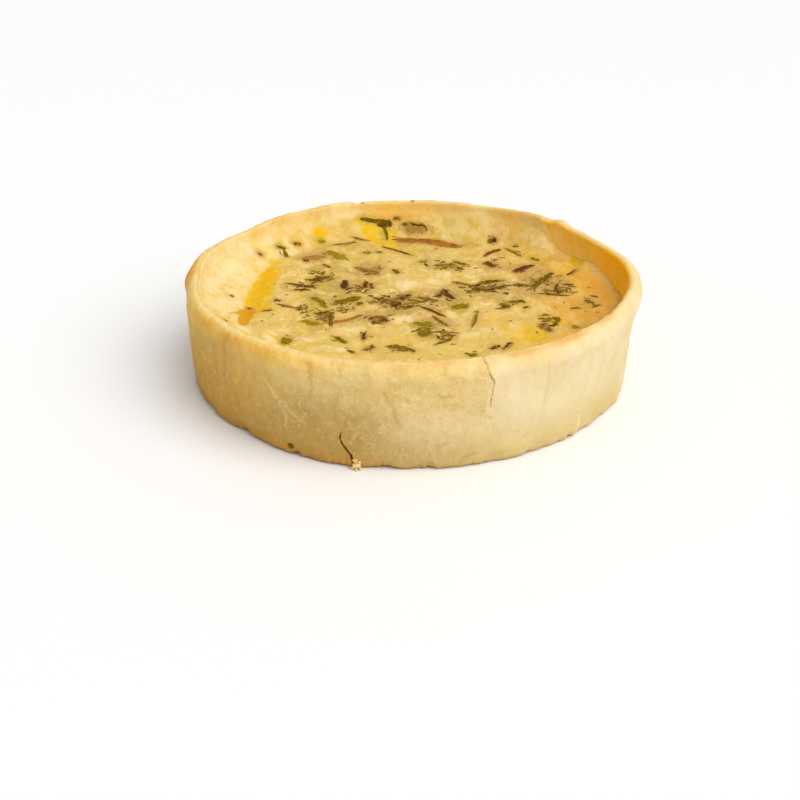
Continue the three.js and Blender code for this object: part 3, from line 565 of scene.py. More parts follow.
def foot_lift(around, radius):
    """How far the underside is clear of the table at its edge, where the pastry crumbled."""
    place = polar(around, RIM_RADIUS, 0)
    bites = np.clip(grain(place, 4.5, 3, 62) + 0.5 * grain(place, 1.6, 2, 63) - 0.12, 0, 1)
    return FOOT_CRUMBLED * bites * smooth(-3.2, -0.6, radius - outer_radius(around, 0))


def crust_relief(points, around, radius, height, part):
    """How far the crust stands out from its plain shape, in mm, and the traits that go with it."""
    outside = np.isin(part, OUTER) * 1.0
    rim = np.where(part == "shoulder", smooth(RIM_FROM, RIM_FROM + 2, height), part == "edge")
    wall = outside * (1 - smooth(RIM_FROM, RIM_FROM + 2.5, height))
    lumps, crumb, fine = grain(points, 9, 2, 1), grain(points, 2.3, 3, 2), grain(points, 1.15, 2, 8)
    sideways = turn(around, 0)
    high = smooth(10, 18, height)
    pale = high * smooth(-72.6, -70.6, sideways + 0.8 * crumb)
    pale = (pale + (1 - high) * smooth(-104, -52, sideways + 3 * crumb)) * (1 - smooth(40, 75, sideways))
    rough = crust_spots(around, height, ROUGH) * wall
    flaky = near(around, 262, 30, 2) + 0.5 * (1 - pale)
    terraces = grain(points * [1, 1, 0.75], 5, 3, 9)
    steps = smooth(0.02, 0.13, terraces) + smooth(-0.3, -0.2, terraces)
    lips = np.maximum(np.exp(-(((terraces - 0.14) / 0.035) ** 2)), np.exp(-(((terraces + 0.19) / 0.03) ** 2)))
    creases = ridges(points * [1, 1, 0.3], 7, 3) * np.clip(0.35 + lumps, 0, 1)
    hairs = ridges(points * [1, 1, 0.45], 3.4, 12) * smooth(0.05, 0.35, grain(points, 8, 2, 13))
    relief = 0.17 * lumps + (0.1 - 0.05 * pale + 0.1 * rough) * crumb
    relief += (0.05 - 0.03 * pale + 0.06 * rough) * fine
    relief += wall * np.clip(flaky, 0, 1) * 0.07 * (steps - 1) - 0.1 * creases * wall
    relief -= 0.13 * hairs * wall * (1 - 0.7 * pale)
    front = rim * near(around, 262, 34)
    relief += rim * (0.14 * grain(points, 3.4, 2, 10) + 0.07 * crumb) + front * 0.16 * (steps - 1)
    relief += outside * ragged_foot(around, height)
    relief -= 0.9 * np.clip(grain(points, 1.8, 1, 4) - 0.5 + 0.12 * rough, 0, 1) * wall
    # Painted shade darkens the grooved lines in colour, and the proud lines are paler
    lined = np.zeros(height.shape)
    for depth, *path in WALL_LINES:
        mark = np.exp(-((line_near(around, height, path, 0.5) / 1.35) ** 2)) * outside
        relief -= 1.7 * depth * mark * (1 + 0.6 * crumb)
        lined = np.where(mark > 0.02, -depth / 0.16 * mark, lined)
    toast = np.maximum(crust_spots(around, height, WALL_TOAST) * outside,
                       crust_spots(around, radius, RIM_TOAST) * rim)
    toast = np.maximum(toast, 0.55 * front * (part == "edge") * smooth(0, 0.35, grain(points, 1.7, 2, 71)))
    flakes = 0.8 * lips * smooth(-0.1, 0.3, crumb) * wall * flaky + 0.5 * rough * smooth(0, 0.3, crumb)
    return relief, {"pale": pale, "toast": toast, "lined": lined, "flaky": flakes}


def crust_traits(points, around, radius, height, part):
    """Where the crust takes each of its colours."""
    outer, outside = np.isin(part, OUTER), part == "outside"
    # Golden, most on the left and back shoulder of the rim, and least on the right
    left = band(around, 100, 150, 236, 262)
    wavy = height + 0.7 * np.sin(np.radians(around) * 11) + 0.5 * np.sin(np.radians(around) * 29)
    side = 0.5 + 0.4 * left - 0.3 * near(around, 335, 46)
    shoulder = smooth(23.4 - left, 27.8, wavy)
    front = 0.35 * near(around, 258, 30) * smooth(11, 24, wavy)
    golden = side * shoulder + 0.3 * smooth(13, 27, wavy) * left + front * (1 - shoulder)
    # Duller between the golden left and the pale right, and low on the front: partly a duller bake, partly
    # painted shade low on the wall
    middle = band(around, 219, 240, 256, 272) * (1 - 0.85 * smooth(13, 25, height))
    dull = np.maximum(middle, 0.7 * band(around, 244, 262, 276, 300) * (1 - smooth(3, 15, height)))
    # Browner along the foot, deepest on the left: partly baked browner, partly painted shade low on the wall,
    # where little light comes up from below
    left = band(around, 130, 185, 238, 272)
    broad = 0.5 * band(around, 120, 180, 245, 300) * (1 - smooth(2, 19, height))
    right = 0.75 * band(around, 262, 290, 330, 352) * (1 - smooth(1, 13, height))
    foot = (0.7 + 0.3 * left) * (1 - smooth(0, 6 + 3.5 * left, height)) ** 1.1
    brown = np.maximum(foot, np.maximum(broad, right))
    # Custard clings to the inside of the wall low down, and beside the end of the skin
    level = height + 0.8 * grain(points, 3, 2, 70)
    low = near(around, 33, 13) * (1 - smooth(LEVEL - 1, LEVEL + 4.5, level))
    beside = 0.8 * near(around, 42, 5) * (1 - smooth(LEVEL + 1, LEVEL + 7.5, level))
    crest = radius - crest_radius(around)
    return {
        "golden": np.where(outer, golden, 0.45 * side),
        "tanned": band(around, 60, 150, 222, 250),  # the left and the back of the wall baked darker, and darker still as painted shade on the side away from the light
        "dull": dull * outer,
        "brown": np.where(outside, brown, 0.3 * (part == "foot")),
        # Paler along the rim's crest: partly paler pastry, partly a painted highlight where the crest catches
        # the light
        "crest": np.exp(-(((crest - 0.3) / 0.75) ** 2)) * np.isin(part, RIM),
        "inside": np.isin(part, ["inside", "hidden"]) + (part == "edge") * smooth(-0.3, -1.3, crest),
        "buttery": near(around, 9, 17),  # a deep orange above the sunken custard, pushed to full brightness as a painted glow of light through the thin wall
        "sunk": np.maximum(low, beside) * np.isin(part, ["inside", "edge"]),
    }


def pastry_case(finish):
    plain, kinds = case_grid(case_angles())
    around, radius = angle_and_radius(plain[..., 0], plain[..., 1])
    height = plain[..., 2]
    part = np.broadcast_to(kinds, height.shape)
    relief, traits = crust_relief(plain, around, radius, height, part)
    traits.update(crust_traits(plain, around, radius, height, part))
    shown, outside = np.isin(part, OUTER + ["edge"]), part == "outside"
    shaded_cracks = np.zeros(height.shape)
    for path, deep, proud, dark in CRACKS:
        away = line_near(around, height, path)
        cut = np.where(shown, np.clip(1 - away, 0, 1), 0)
        relief += np.where(shown, proud * np.exp(-((away - 1.9) / 1.1) ** 2), 0) - deep * np.sqrt(cut)
        shaded_cracks = np.maximum(shaded_cracks, cut * dark)
    away = np.hypot(along_rim(around, PIT_ANGLE), height - PIT_HEIGHT) / PIT_RADIUS
    relief -= PIT_DEPTH * np.sqrt(np.clip(1 - away**2, 0, 1)) * outside
    # Painted shade: the cracks and the pit are darker in colour
    traits["crack"] = np.maximum(shaded_cracks, 0.8 * np.clip(1.4 - away, 0, 1) * outside)
    covered = coat_share(around) * (1 - smooth(-0.2, 0.5, radius - custard_wall(around) - coat_reach(around)))
    relief *= 1 - 0.85 * covered * np.isin(part, RIM + ["inside"])
    relief[part == "hidden"] = 0
    foot = kinds == "foot"
    relief[:, foot] = -0.12 * np.abs(relief[:, foot])
    points = plain + grid_normals(plain) * relief[..., None]
    lifted = foot_lift(around, radius) * (1 - smooth(0.5, 2.6, height))
    points[..., 2] = np.maximum(points[..., 2], 0) + lifted * np.isin(part, ["foot", "outside"])

    columns, rows = height.shape
    faces = grid_faces(columns, rows).tolist()
    low, high = columns * rows, columns * rows + 1
    for column in range(columns):
        after = (column + 1) % columns
        faces.append([low, after * rows, column * rows])
        faces.append([high, column * rows + rows - 1, after * rows + rows - 1])
    traits = {name: np.append(values, [0, 0]) for name, values in traits.items()}
    points = np.concatenate([points.reshape(-1, 3), [[0, 0, 0], [0, 0, FLOOR]]])
    piece("pastry_crust", points, faces, "pastry_case", finish, traits)


def crumbs(finish):
    """Small crumbs of crust at the foot crack."""
    ball = bmesh.new()
    bmesh.ops.create_icosphere(ball, subdivisions=3, radius=1)
    shape = np.array([vertex.co for vertex in ball.verts])
    sides = np.array([[vertex.index for vertex in face.verts] for face in ball.faces])
    ball.free()
    points, faces = [], []
    for index, (angle, out, height, size, _) in enumerate(CRUMBS):
        place = polar(np.array(angle), outer_radius(angle, height) + out - 0.2, height)
        rough = 1 + 0.45 * grain(shape, 0.9, 3, 30 + index)
        lump = place + shape * rough[:, None] * size * [1, 0.8, 0.75]
        lump[:, 2] = np.maximum(lump[:, 2], 0.02)
        faces += (sides + index * len(shape)).tolist()
        points.append(lump)
    golden = np.repeat([row[-1] for row in CRUMBS], len(shape))
    piece("crust_crumbs", np.concatenate(points), faces, "pastry_case", finish,
          {"golden": golden, "flaky": 1.6 - golden})


# ---- The custard ----
def custard_top(x, y):
    """The height of the custard's surface with its fine lumps, and over the rim's edge."""
    angle, radius = angle_and_radius(x, y)
    flat = np.stack([x, CURD_STRETCH * y, 0 * x], -1)
    soft, curds, fine = grain(flat, 7, 2, 5), grain(flat, 3, 2, 16), grain(flat, 1.3, 3, 6)
    bank = bank_share(angle) * smooth(-2, 4, radius - bank_toe(angle))
    calm = 1 - 0.8 * furrow(angle, radius)
    relief = ((0.12 + 0.16 * bank) * soft + 0.19 * (1 - 0.5 * bank) * curds + 0.09 * fine) * calm
    relief += 0.35 * spots(x, y, CREAM) - 0.2 * spots(x, y, CHEESE)
    wall, coat = custard_wall(angle), coat_share(angle)
    relief += CREEP * (1 - coat) * np.exp((np.minimum(radius, wall) - wall) / CREEP_WIDTH)
    inner = custard_height(x, y) + relief * (1 - 0.6 * smooth(-1.5, 0.5, radius - wall) * coat)
    share = np.clip((radius - wall) / np.maximum(coat_reach(angle), 0.05), 0, 1)
    skin = rim_surface(angle, radius) + SKIN_THICK - SKIN_THINNED * share**3 + 0.05 * fine
    over = smooth(-0.6, 0.3, radius - wall) * coat
    higher = 0.5 * (inner + skin + np.sqrt((inner - skin) ** 2 + 0.15))
    return inner + over * (np.where(share > 0.5, skin, higher) - inner)


def custard(finish):
    """Six sectors of triangles over the top, then rings over the rim's edge, down the wall and underneath."""
    angles = [np.zeros(1)] + [60 * np.arange(6 * ring) / ring for ring in range(1, TOP_RINGS + 1)]
    starts = np.concatenate([[0], np.cumsum([len(row) for row in angles])])
    x, y = [], []
    for ring, angle in enumerate(angles):
        radius = custard_wall(angle) * ring / TOP_RINGS
        x.append(radius * np.cos(np.radians(angle)))
        y.append(radius * np.sin(np.radians(angle)))
    x, y = np.concatenate(x), np.concatenate(y)
    points = [np.stack([x, y, custard_top(x, y)], -1)]
    faces = []
    for ring in range(1, TOP_RINGS + 1):
        within, beyond = starts[ring - 1], starts[ring]
        inner_size, outer_size = max(1, 6 * (ring - 1)), 6 * ring
        for sector in range(6):
            for step in range(ring):
                out = sector * ring + step
                lead = (sector * (ring - 1) + step) % inner_size
                first, second = beyond + out, beyond + (out + 1) % outer_size
                faces.append([within + lead, first, second])
                if step < ring - 1:
                    faces.append([within + lead, second, within + (lead + 1) % inner_size])
    angle = angles[-1]
    last = np.arange(starts[TOP_RINGS], starts[TOP_RINGS + 1])
    coat, edge_height = coat_share(angle), points[0][last][:, 2]
    rings, base = [], FLOOR + GAP
    for share in stepped(1, EDGE_RINGS):
        radius = custard_wall(angle) + SEATED * min(1, 2 * share) * (1 - coat) + coat_reach(angle) * share
        place = polar(angle, radius, 0)
        height = custard_top(place[:, 0], place[:, 1])
        place[:, 2] = coat * height + (1 - coat) * (edge_height - EDGE_DROP * share)
        rings.append(place)
    for height, inset in ((FINE_ABOVE, GAP), (base + FOOT_ROUND, GAP), (base, GAP + FOOT_ROUND)):
        rings.append(polar(angle, inner_radius(angle, height) - inset, height))
    for ring in rings:
        below = np.arange(len(angle)) + sum(map(len, points))
        faces += np.stack([last, below, np.roll(below, -1), np.roll(last, -1)], -1).tolist()
        points.append(ring)
        last = below
    bottom = sum(map(len, points))
    points.append(np.array([[0, 0, base]]))
    faces += np.stack([last, np.full(len(last), bottom), np.roll(last, -1)], -1).tolist()
    points = np.concatenate(points)
    piece("baked_custard", points, faces, "filling", finish, custard_traits(points))


def stained(x, y, rows, spread):
    """How much the custard is stained beside some toppings."""
    return spots(x, y, [[cx, cy, degrees, 0.52 * length + 0.4 * spread, 0.5 * width + 0.55 * spread, 1]
                        for cx, cy, degrees, length, width, *_ in rows])


def veiled(x, y, rows):
    """How much the custard is tinted in some soft ovals along x and y."""
    return spots(x, y, [[cx, cy, 0, 1.5 * wide, 1.5 * deep, strength]
                        for cx, cy, wide, deep, strength in rows])


def custard_traits(points):
    """Where the custard takes each of its colours."""
    x, y = points[:, 0], points[:, 1]
    around, away = angle_and_radius(x, y)
    past_wall, past_toe = away - custard_wall(around), away - bank_toe(around)
    coat = coat_share(around)
    ragged = 0.5 * grain(points * [1, 1, 0], 2.6, 3, 50) + 0.3 * grain(points * [1, 1, 0], 6, 2, 51)
    # Melted cheese lies in the furrow, and wider at the back
    wide = 1.6 + 5.2 * (1 - smooth(166, 194, around))
    gutter = band(around, FURROW_FROM - 6, FURROW_FROM + 4, FURROW_TO - 9, FURROW_TO - 3)
    gutter = gutter * band(past_toe, -wide - 2, -0.4 * wide, 0.2, 1.3)
    gutter = gutter * smooth(-0.75, 0.1, ragged + gutter - 0.5)
    # The skin is golden where it stands up the inside of the front wall, and painted brighter there as a
    # glow, though it faces away from the light
    glow = band(around, 196, 258, COAT_TO - 2, COAT_TO + 12) * smooth(-0.8, -0.1, past_wall)
    back = near(around, 88, 46)
    return {
        "gold": np.maximum(gutter, spots(x, y, CHEESE)),
        "pocket": spots(x, y, POCKETS),
        "toast": np.maximum(spots(x, y, TOAST), 0.3 * smooth(-2.2, 0, past_wall) * (1 - coat)),
        "glow": glow * (1 - 0.85 * smooth(0.7, 1.3, past_wall)),
        "seam": near(around, 27, 17) * smooth(-5.5, -0.5, past_wall + ragged),
        "bank": bank_share(around) * smooth(-1.5, 3, past_toe),
        "cream": spots(x, y, CREAM),
        "dusk": back * smooth(18, 42, away),
        "right": near(around, 4, 44) * smooth(30, 46, away),
        "rolled": np.maximum(np.clip(past_wall / np.maximum(coat_reach(around), 0.3), 0, 1) * coat,
                             back * smooth(-2.5, 1.2, past_wall)),
        "brown": stained(x, y, DARK_FLAKES + STALKS, 1),
        "green": stained(x, y, LEAVES, 1.2),
        "olive": veiled(x, y, OLIVE_VEILS),
        "tawny": np.maximum(veiled(x, y, TAWNY_VEILS), 0.7 * veiled(x, y, TANGLES)),
        "warm": np.maximum(stained(x, y, LEAVES + DARK_FLAKES + STALKS + ONIONS, 3.4), veiled(x, y, TANGLES)),
        "front": (1 - smooth(-34, -8, y)) * (1 - smooth(46, 56, away)),
    }


# ---- Toppings ----
class Flakes:
    """Thin torn blades of one kind, half sunk in the custard and gathered into one mesh."""

    def __init__(self, seed):
        self.draw = np.random.default_rng(seed)
        self.places, self.raised, self.tones, self.edges, self.faces = [], [], [], [], []
        self.count = 0

    def torn(self, steps, rough):
        """A wandering outline, from 1 - rough to 1 + rough."""
        knots = self.draw.uniform(-1, 1, max(3, steps // 2))
        wide = np.interp(np.linspace(0, 1, steps + 1), np.linspace(0, 1, len(knots)), knots)
        return (1 + rough * (0.7 * wide + 0.3 * self.draw.uniform(-1, 1, steps + 1)))[:, None]

    def blade(self, row, outline, lift, steps, across, rough=0.4, sink=0.2, crinkle=0.24, curl=0):
        """One blade, as wide along its length as its outline says, its edges sunk and its ends curled."""
        x, y, degrees, length, width, tone, bow = row
        c, s = bearing(degrees)
        place = np.linspace(-0.5, 0.5, steps + 1)[:, None]
        side = np.linspace(-1, 1, across + 1)[None, :]
        half = width / 2 * np.interp(place, np.linspace(-0.5, 0.5, len(outline)), outline)
        half = half * np.where(side < 0, self.torn(steps, rough), self.torn(steps, rough))
        phase, sway = self.draw.uniform(0, 6.3, 2), self.draw.normal(0, 0.022) * length
        u = place * length + 0.12 * width * np.sin(5 * side + phase[0]) * (1 - np.abs(2 * place))
        v = side * half + bow * (1 - 4 * place**2) + sway * np.sin(6.3 * place + phase[1])
        places = np.stack([x + u * c - v * s, y + u * s + v * c], -1)
        wrinkle = grain(np.dstack([places, 0 * u + x]), 1.0, 2, 40)
        edge = np.maximum(np.abs(side) ** 2.5, np.abs(2 * place) ** 5)
        ends = self.draw.uniform(-0.3, 1, 2)
        raised = lift + crinkle * wrinkle - sink * edge + curl * (2 * place) ** 2 * np.where(place < 0, *ends)
        self.places.append(places.reshape(-1, 2))
        self.raised.append(raised.ravel())
        self.tones.append(np.clip(tone + 0.5 * wrinkle + self.draw.normal(0, 0.06), 0, 1).ravel())
        self.edges.append(edge.ravel())
        index = np.arange((steps + 1) * (across + 1)).reshape(steps + 1, across + 1) + self.count
        upper = np.stack([index[:-1, :-1], index[1:, :-1], index[1:, 1:], index[:-1, 1:]], -1).reshape(-1, 4)
        around = [index[0, :-1], index[:-1, -1], index[-1, :0:-1], index[:0:-1, 0]]
        self.faces.append((upper, np.concatenate(around)))
        self.count += index.size

    def shards(self, row, count, spread=1):
        """Small torn pieces lying over and beside a flake."""
        x, y, degrees, length, width, tone, _ = row
        c, s = bearing(degrees)
        for _ in range(count):
            u, v = self.draw.uniform(-0.55, 0.55) * length, self.draw.normal(0, 0.5) * width * spread
            small = self.draw.uniform(0.2, 0.5) * length
            shard = [x + u * c - v * s, y + u * s + v * c, degrees + self.draw.normal(0, 26), small,
                     min(0.6 * width, small) * self.draw.uniform(0.3, 0.8),
                     np.clip(tone + self.draw.normal(0, 0.25), 0, 1), 0.1 * small * self.draw.normal()]
            self.blade(shard, [0.3, 1, 0.8, 0.3], lift=self.draw.uniform(0.1, 0.24), steps=6, across=2)

    def tangle(self, row, slivers, scraps):
        """Thin bent slivers and small scraps, crowded together."""
        x, y, spread_x, spread_y, dense = row
        for index in range(round((slivers + scraps) * dense)):
            px, py = x + 0.55 * spread_x * self.draw.normal(), y + 0.55 * spread_y * self.draw.normal()
            if index < slivers * dense:
                length, width = self.draw.uniform(1.4, 4.2), self.draw.uniform(0.7, 1.7)
                turned, bow = self.draw.normal(0, 40), 0.12 * length * self.draw.normal()
            else:
                length = 0.7 + 2 * self.draw.uniform() ** 1.5
                width, turned, bow = length * self.draw.uniform(0.45, 1), self.draw.uniform(-90, 90), 0
            scrap = [px, py, turned, length, width, self.draw.beta(1.3, 1.3), bow]
            self.blade(scrap, [0.3, 1, 0.85, 0.35], lift=self.draw.uniform(0.04, 0.22), steps=8, across=2)

    def gather(self, name, finish, thick=0.15):
        """The finished piece, each blade with an underside and a rim."""
        places, raised = np.concatenate(self.places), np.concatenate(self.raised)
        top = custard_top(places[:, 0], places[:, 1]) + raised
        points = np.concatenate([np.column_stack([places, top]), np.column_stack([places, top - thick])])
        faces = []
        for upper, ring in self.faces:
            after = np.roll(ring, -1)
            faces += upper.tolist() + (upper[:, ::-1] + self.count).tolist()
            faces += np.stack([ring, ring + self.count, after + self.count, after], -1).tolist()
        traits = {"tone": self.tones, "edge": self.edges}
        traits = {trait: np.tile(np.concatenate(rows), 2) for trait, rows in traits.items()}
        piece(name, points, faces, "filling", finish, traits)


def green_leaves(finish):
    flakes = Flakes(11)
    for index, row in enumerate(LEAVES):
        outline = [0.25, *flakes.draw.uniform(0.6, 1.1, 5), 0.2]
        whole = index < 3
        flakes.blade(row, outline, lift=0.14, steps=20, across=6, rough=0.25 if whole else 0.42, curl=0.15)
        flakes.shards(row, 0 if whole else 2)
    for row in TANGLES:
        flakes.tangle(row, slivers=9, scraps=16)
    flakes.gather("green_herb_leaves", finish)


def dark_flakes(finish):
    flakes = Flakes(12)
    for row in DARK_FLAKES:
        outline = flakes.draw.uniform(0.5, 1.1, 6)
        flakes.blade(row, outline, lift=0.15, steps=14, across=6, rough=0.45, curl=0.2)
        flakes.shards(row, 3 if 1.2 < row[4] < 2.8 else 0)
    for row in TANGLES:
        flakes.tangle(row, slivers=22, scraps=14)
    flakes.gather("dark_herb_flakes", finish)


def stalks(finish):
    flakes = Flakes(13)
    for row in STALKS:
        outline = [0.4, 0.9, 1, 0.85, 1, 0.8, 0.35]
        flakes.blade(row, outline, lift=0.26, steps=22, across=4, rough=0.18, sink=0.3, crinkle=0.06)
    flakes.gather("brown_stalks", finish, thick=0.3)


def onion_shreds(finish):
    flakes = Flakes(14)
    for row in ONIONS:
        outline = [0.6, 0.95, 1, 0.95, 1, 0.85, 0.45]
        flakes.blade(row, outline, lift=0.34, steps=30, across=6, rough=0.16, sink=0.3, crinkle=0.08)
        flakes.shards([*row[:4], row[4] * 0.6, *row[5:]], 2, spread=0.5)
    flakes.gather("red_onion_shreds", finish, thick=0.3)


def fine_bits(finish):
    """Specks of herb strewn over the whole of the custard."""
    flakes = Flakes(15)
    draw = flakes.draw
    for _ in range(BIT_COUNT):
        away, around = 50 * draw.uniform() ** 0.6, draw.uniform(0, 2 * math.pi)
        x, y = 3 + 0.92 * away * math.cos(around), 2 + 0.88 * away * math.sin(around)
        length = 0.4 + 1.5 * draw.uniform() ** 2
        row = [x, y, draw.normal(0, 50), length, length * draw.uniform(0.25, 0.6), draw.beta(1.6, 1.6), 0]
        flakes.blade(row, [0.4, 1, 0.9, 0.4], lift=draw.uniform(0.06, 0.16), steps=5, across=2)
    flakes.gather("fine_herb_bits", finish)


# ---- Finishes ----
class Number:
    """A node's number output, on which Python's operators work."""

    def __init__(self, finish, socket):
        self.finish, self.socket = finish, socket

    def maths(self, operation, *values):
        sockets = dict(enumerate(values))
        return Number(self.finish, self.finish.node("Math", {"operation": operation}, sockets).outputs[0])

    def __add__(self, other):
        return self.maths("ADD", self, other)

    def __sub__(self, other):
        return self.maths("SUBTRACT", self, other)

    def __rsub__(self, other):
        return self.maths("SUBTRACT", other, self)

    def __mul__(self, other):
        return self.maths("MULTIPLY", self, other)

    __radd__ = __add__
    __rmul__ = __mul__

    def maximum(self, other):
        return self.maths("MAXIMUM", self, other)


class Finish:
    """A material, and the few ways in which its nodes are made."""

    def __init__(self, name):
        self.material = bpy.data.materials.new(name)
        self.material.use_nodes = True
        self.tree = self.material.node_tree
        self.tree.nodes.clear()
        self.place = self.node("TexCoord").outputs["Object"]

    def node(self, kind, settings=None, sockets=None):
        made = self.tree.nodes.new("ShaderNode" + kind)
        for name, value in (settings or {}).items():
            setattr(made, name, value)
        for name, value in (sockets or {}).items():
            if isinstance(value, Number):
                value = value.socket
            if isinstance(value, bpy.types.NodeSocket):
                self.tree.links.new(value, made.inputs[name])
            else:
                made.inputs[name].default_value = value
        return made

    def traits(self, names):
        return [Number(self, self.node("Attribute", {"attribute_name": name}).outputs["Fac"])
                for name in names.split()]

    def stretch(self, x, y, z):
        moved = self.node("VectorMath", {"operation": "MULTIPLY"}, {0: self.place, 1: (x, y, z)})
        return moved.outputs[0]

    def specks(self, size, detail, rough, seed, place=None):
        """Noise from 0 to 1 with lumps about `size` mm wide."""
        made = self.node("TexNoise", {"noise_dimensions": "4D"}, {
            "Vector": place or self.place, "Scale": 1 / (size * MM), "Detail": detail,
            "Roughness": rough, "W": seed})
        return Number(self, made.outputs["Fac"])

    def crackle(self, size, place):
        """1 on a net of thin wavering lines with meshes about `size` mm wide, and 0 beside them."""
        bent = self.node("TexNoise", {}, {"Vector": place, "Scale": 1.6 / (size * MM), "Detail": 3})
        moved = self.node("VectorMath", {"operation": "MULTIPLY_ADD"}, {
            0: bent.outputs["Color"], 1: (1.1 * size * MM,) * 3, 2: place})
        net = self.node("TexVoronoi", {"feature": "DISTANCE_TO_EDGE"}, {
            "Vector": moved.outputs[0], "Scale": 1 / (size * MM)})
        return 1 - self.rise(Number(self, net.outputs["Distance"]), 0, 0.07)

    def rise(self, value, low, high):
        """0 below low, 1 above high and smooth between."""
        made = self.node("MapRange", {"interpolation_type": "SMOOTHSTEP"}, {
            "Value": value, "From Min": low, "From Max": high})
        return Number(self, made.outputs["Result"])

    def blend(self, share, first, second):
        """A colour between two colours: the first where the share is 0 or less, the second from 1 up."""
        def colour(value):
            return value if isinstance(value, bpy.types.NodeSocket) else (*value, 1)
        made = self.node("Mix", {"data_type": "RGBA"}, {0: share, 6: colour(first), 7: colour(second)})
        return made.outputs[2]

    def shade(self, value, low, high, first, second):
        """The first colour where a value is below low, and the second where it is above high."""
        return self.blend(self.rise(value, low, high), first, second)

    def layers(self, colour, coats):
        """A colour under some coats, each a share and a colour, from the lowest up."""
        for share, coat in coats:
            colour = self.blend(share, colour, coat)
        return colour

    def bump(self, height, strength, distance):
        made = self.node("Bump", {}, {"Height": height, "Strength": strength, "Distance": distance * MM})
        return made.outputs["Normal"]

    def surface(self, sockets):
        shader = self.node("BsdfPrincipled", {}, sockets)
        self.node("OutputMaterial", {}, {"Surface": shader.outputs[0]})
        return self.material


def crust_finish():
    f = Finish("baked_shortcrust")
    broad, mottle = f.specks(15, 3, 0.5, 1), f.specks(5, 4, 0.6, 2)
    sandy, fine = f.specks(1.6, 4, 0.65, 3), f.specks(0.55, 3, 0.6, 4)
    streaks = f.specks(2.6, 3, 0.6, 5, f.stretch(1, 1, 0.2))
    crackle = f.crackle(3.2, f.stretch(1, 1, 0.6)) * f.rise(mottle + streaks * 0.5, 0.74, 0.86)
    (pale, golden, tanned, dull, brown, inside, buttery, toast, crack, flaky, lined, crest, sunk) = f.traits(
        "pale golden tanned dull brown inside buttery toast crack flaky lined crest sunk")
    mealy, specked = mottle + sandy * 0.6, mottle + sandy * 0.5
    calm = 1 - 0.75 * pale

    # The inside of the wall: a deep orange, pushed to full brightness as a painted glow of light through the
    # thin wall and up from the custard
    lining = f.layers(f.shade(specked, 0.6, 0.9, (0.97, 0.61, 0.12), (0.93, 0.50, 0.05)), [
        (buttery * (0.6 + mottle * 0.8), (1.0, 0.49, 0.001)),
        (sunk * (0.5 + sandy), (0.94, 0.59, 0.13))])
    plain = f.shade(broad + mottle * 0.8, 0.70, 1.06, (0.76, 0.60, 0.30), (0.70, 0.525, 0.23))
    colour = f.layers(plain, [
        (f.rise(specked, 0.60, 0.96) * 0.35, (0.62, 0.44, 0.16)),
        # Duller front and left: partly a duller bake, partly painted shade low on the wall
        (dull * (0.95 + mottle * 0.1),
         f.shade(mealy, 0.62, 0.98, (0.52, 0.355, 0.112), (0.475, 0.32, 0.092))),
        # Darker on the left and back: baked darker, and painted shade on the side away from the light
        (tanned * (0.9 + mottle * 0.2), f.shade(mealy, 0.62, 0.98, (0.64, 0.38, 0.08), (0.58, 0.325, 0.06))),
        (pale * (0.85 + mottle * 0.3),
         f.shade(broad + streaks * 0.7, 0.65, 1.05, (0.76, 0.64, 0.40), (0.71, 0.57, 0.31))),
        (f.rise(sandy + streaks * 0.3, 0.62, 0.80) * 0.3, (0.80, 0.64, 0.33)),
        ((0.3 - 0.3 * f.rise(fine + sandy * 0.5, 0.62, 0.72)) * calm, (0.51, 0.33, 0.10)),
        (crackle * (0.4 - 0.25 * tanned), (0.84, 0.68, 0.38)),
        (flaky * 0.5, (0.80, 0.61, 0.30)),
        (golden * (0.7 + mottle * 0.5),
         f.shade(mottle + broad * 0.5, 0.55, 0.95, (0.83, 0.59, 0.19), (0.79, 0.48, 0.10))),
        # Browner along the foot: partly baked browner, partly painted shade low on the wall
        (brown * (0.55 + mottle * 0.7), f.blend(pale, (0.44, 0.235, 0.04), (0.57, 0.41, 0.13))),
        # Paler crest: partly paler pastry, partly a painted highlight along it
        (crest * (0.35 + sandy * 0.6), (0.85, 0.65, 0.30)),
        # The inside of the wall, its brightness partly a painted glow
        (inside * (0.75 + mottle * 0.4), lining),
        (toast * (0.4 + mottle * 0.8), (0.74, 0.35, 0.045)),
        # Paler along the proud lines, and painted shade in the grooved ones
        (lined * 0.5, (0.84, 0.67, 0.37)),
        (lined * (0.3 * pale - 0.55), (0.50, 0.29, 0.07)),
        (f.rise(fine + sandy * 0.4, 0.80, 0.92) * 0.4 * calm, (0.54, 0.30, 0.07)),
        # Painted shade in the cracks and the pit
        (f.rise(crack, 0.08, 0.4), (0.27, 0.11, 0.015))])

    height = (sandy * 0.6 + fine * 0.35) * calm + mottle * 0.3 + crackle * 0.15
    return f.surface({
        "Base Color": colour, "Roughness": 0.68 + fine * 0.2 - golden * 0.1,
        "Normal": f.bump(height, strength=0.85, distance=0.5), "Specular IOR Level": 0.06,
        "Subsurface Weight": 0.12, "Subsurface Radius": (1.0, 0.5, 0.2), "Subsurface Scale": 0.0012})


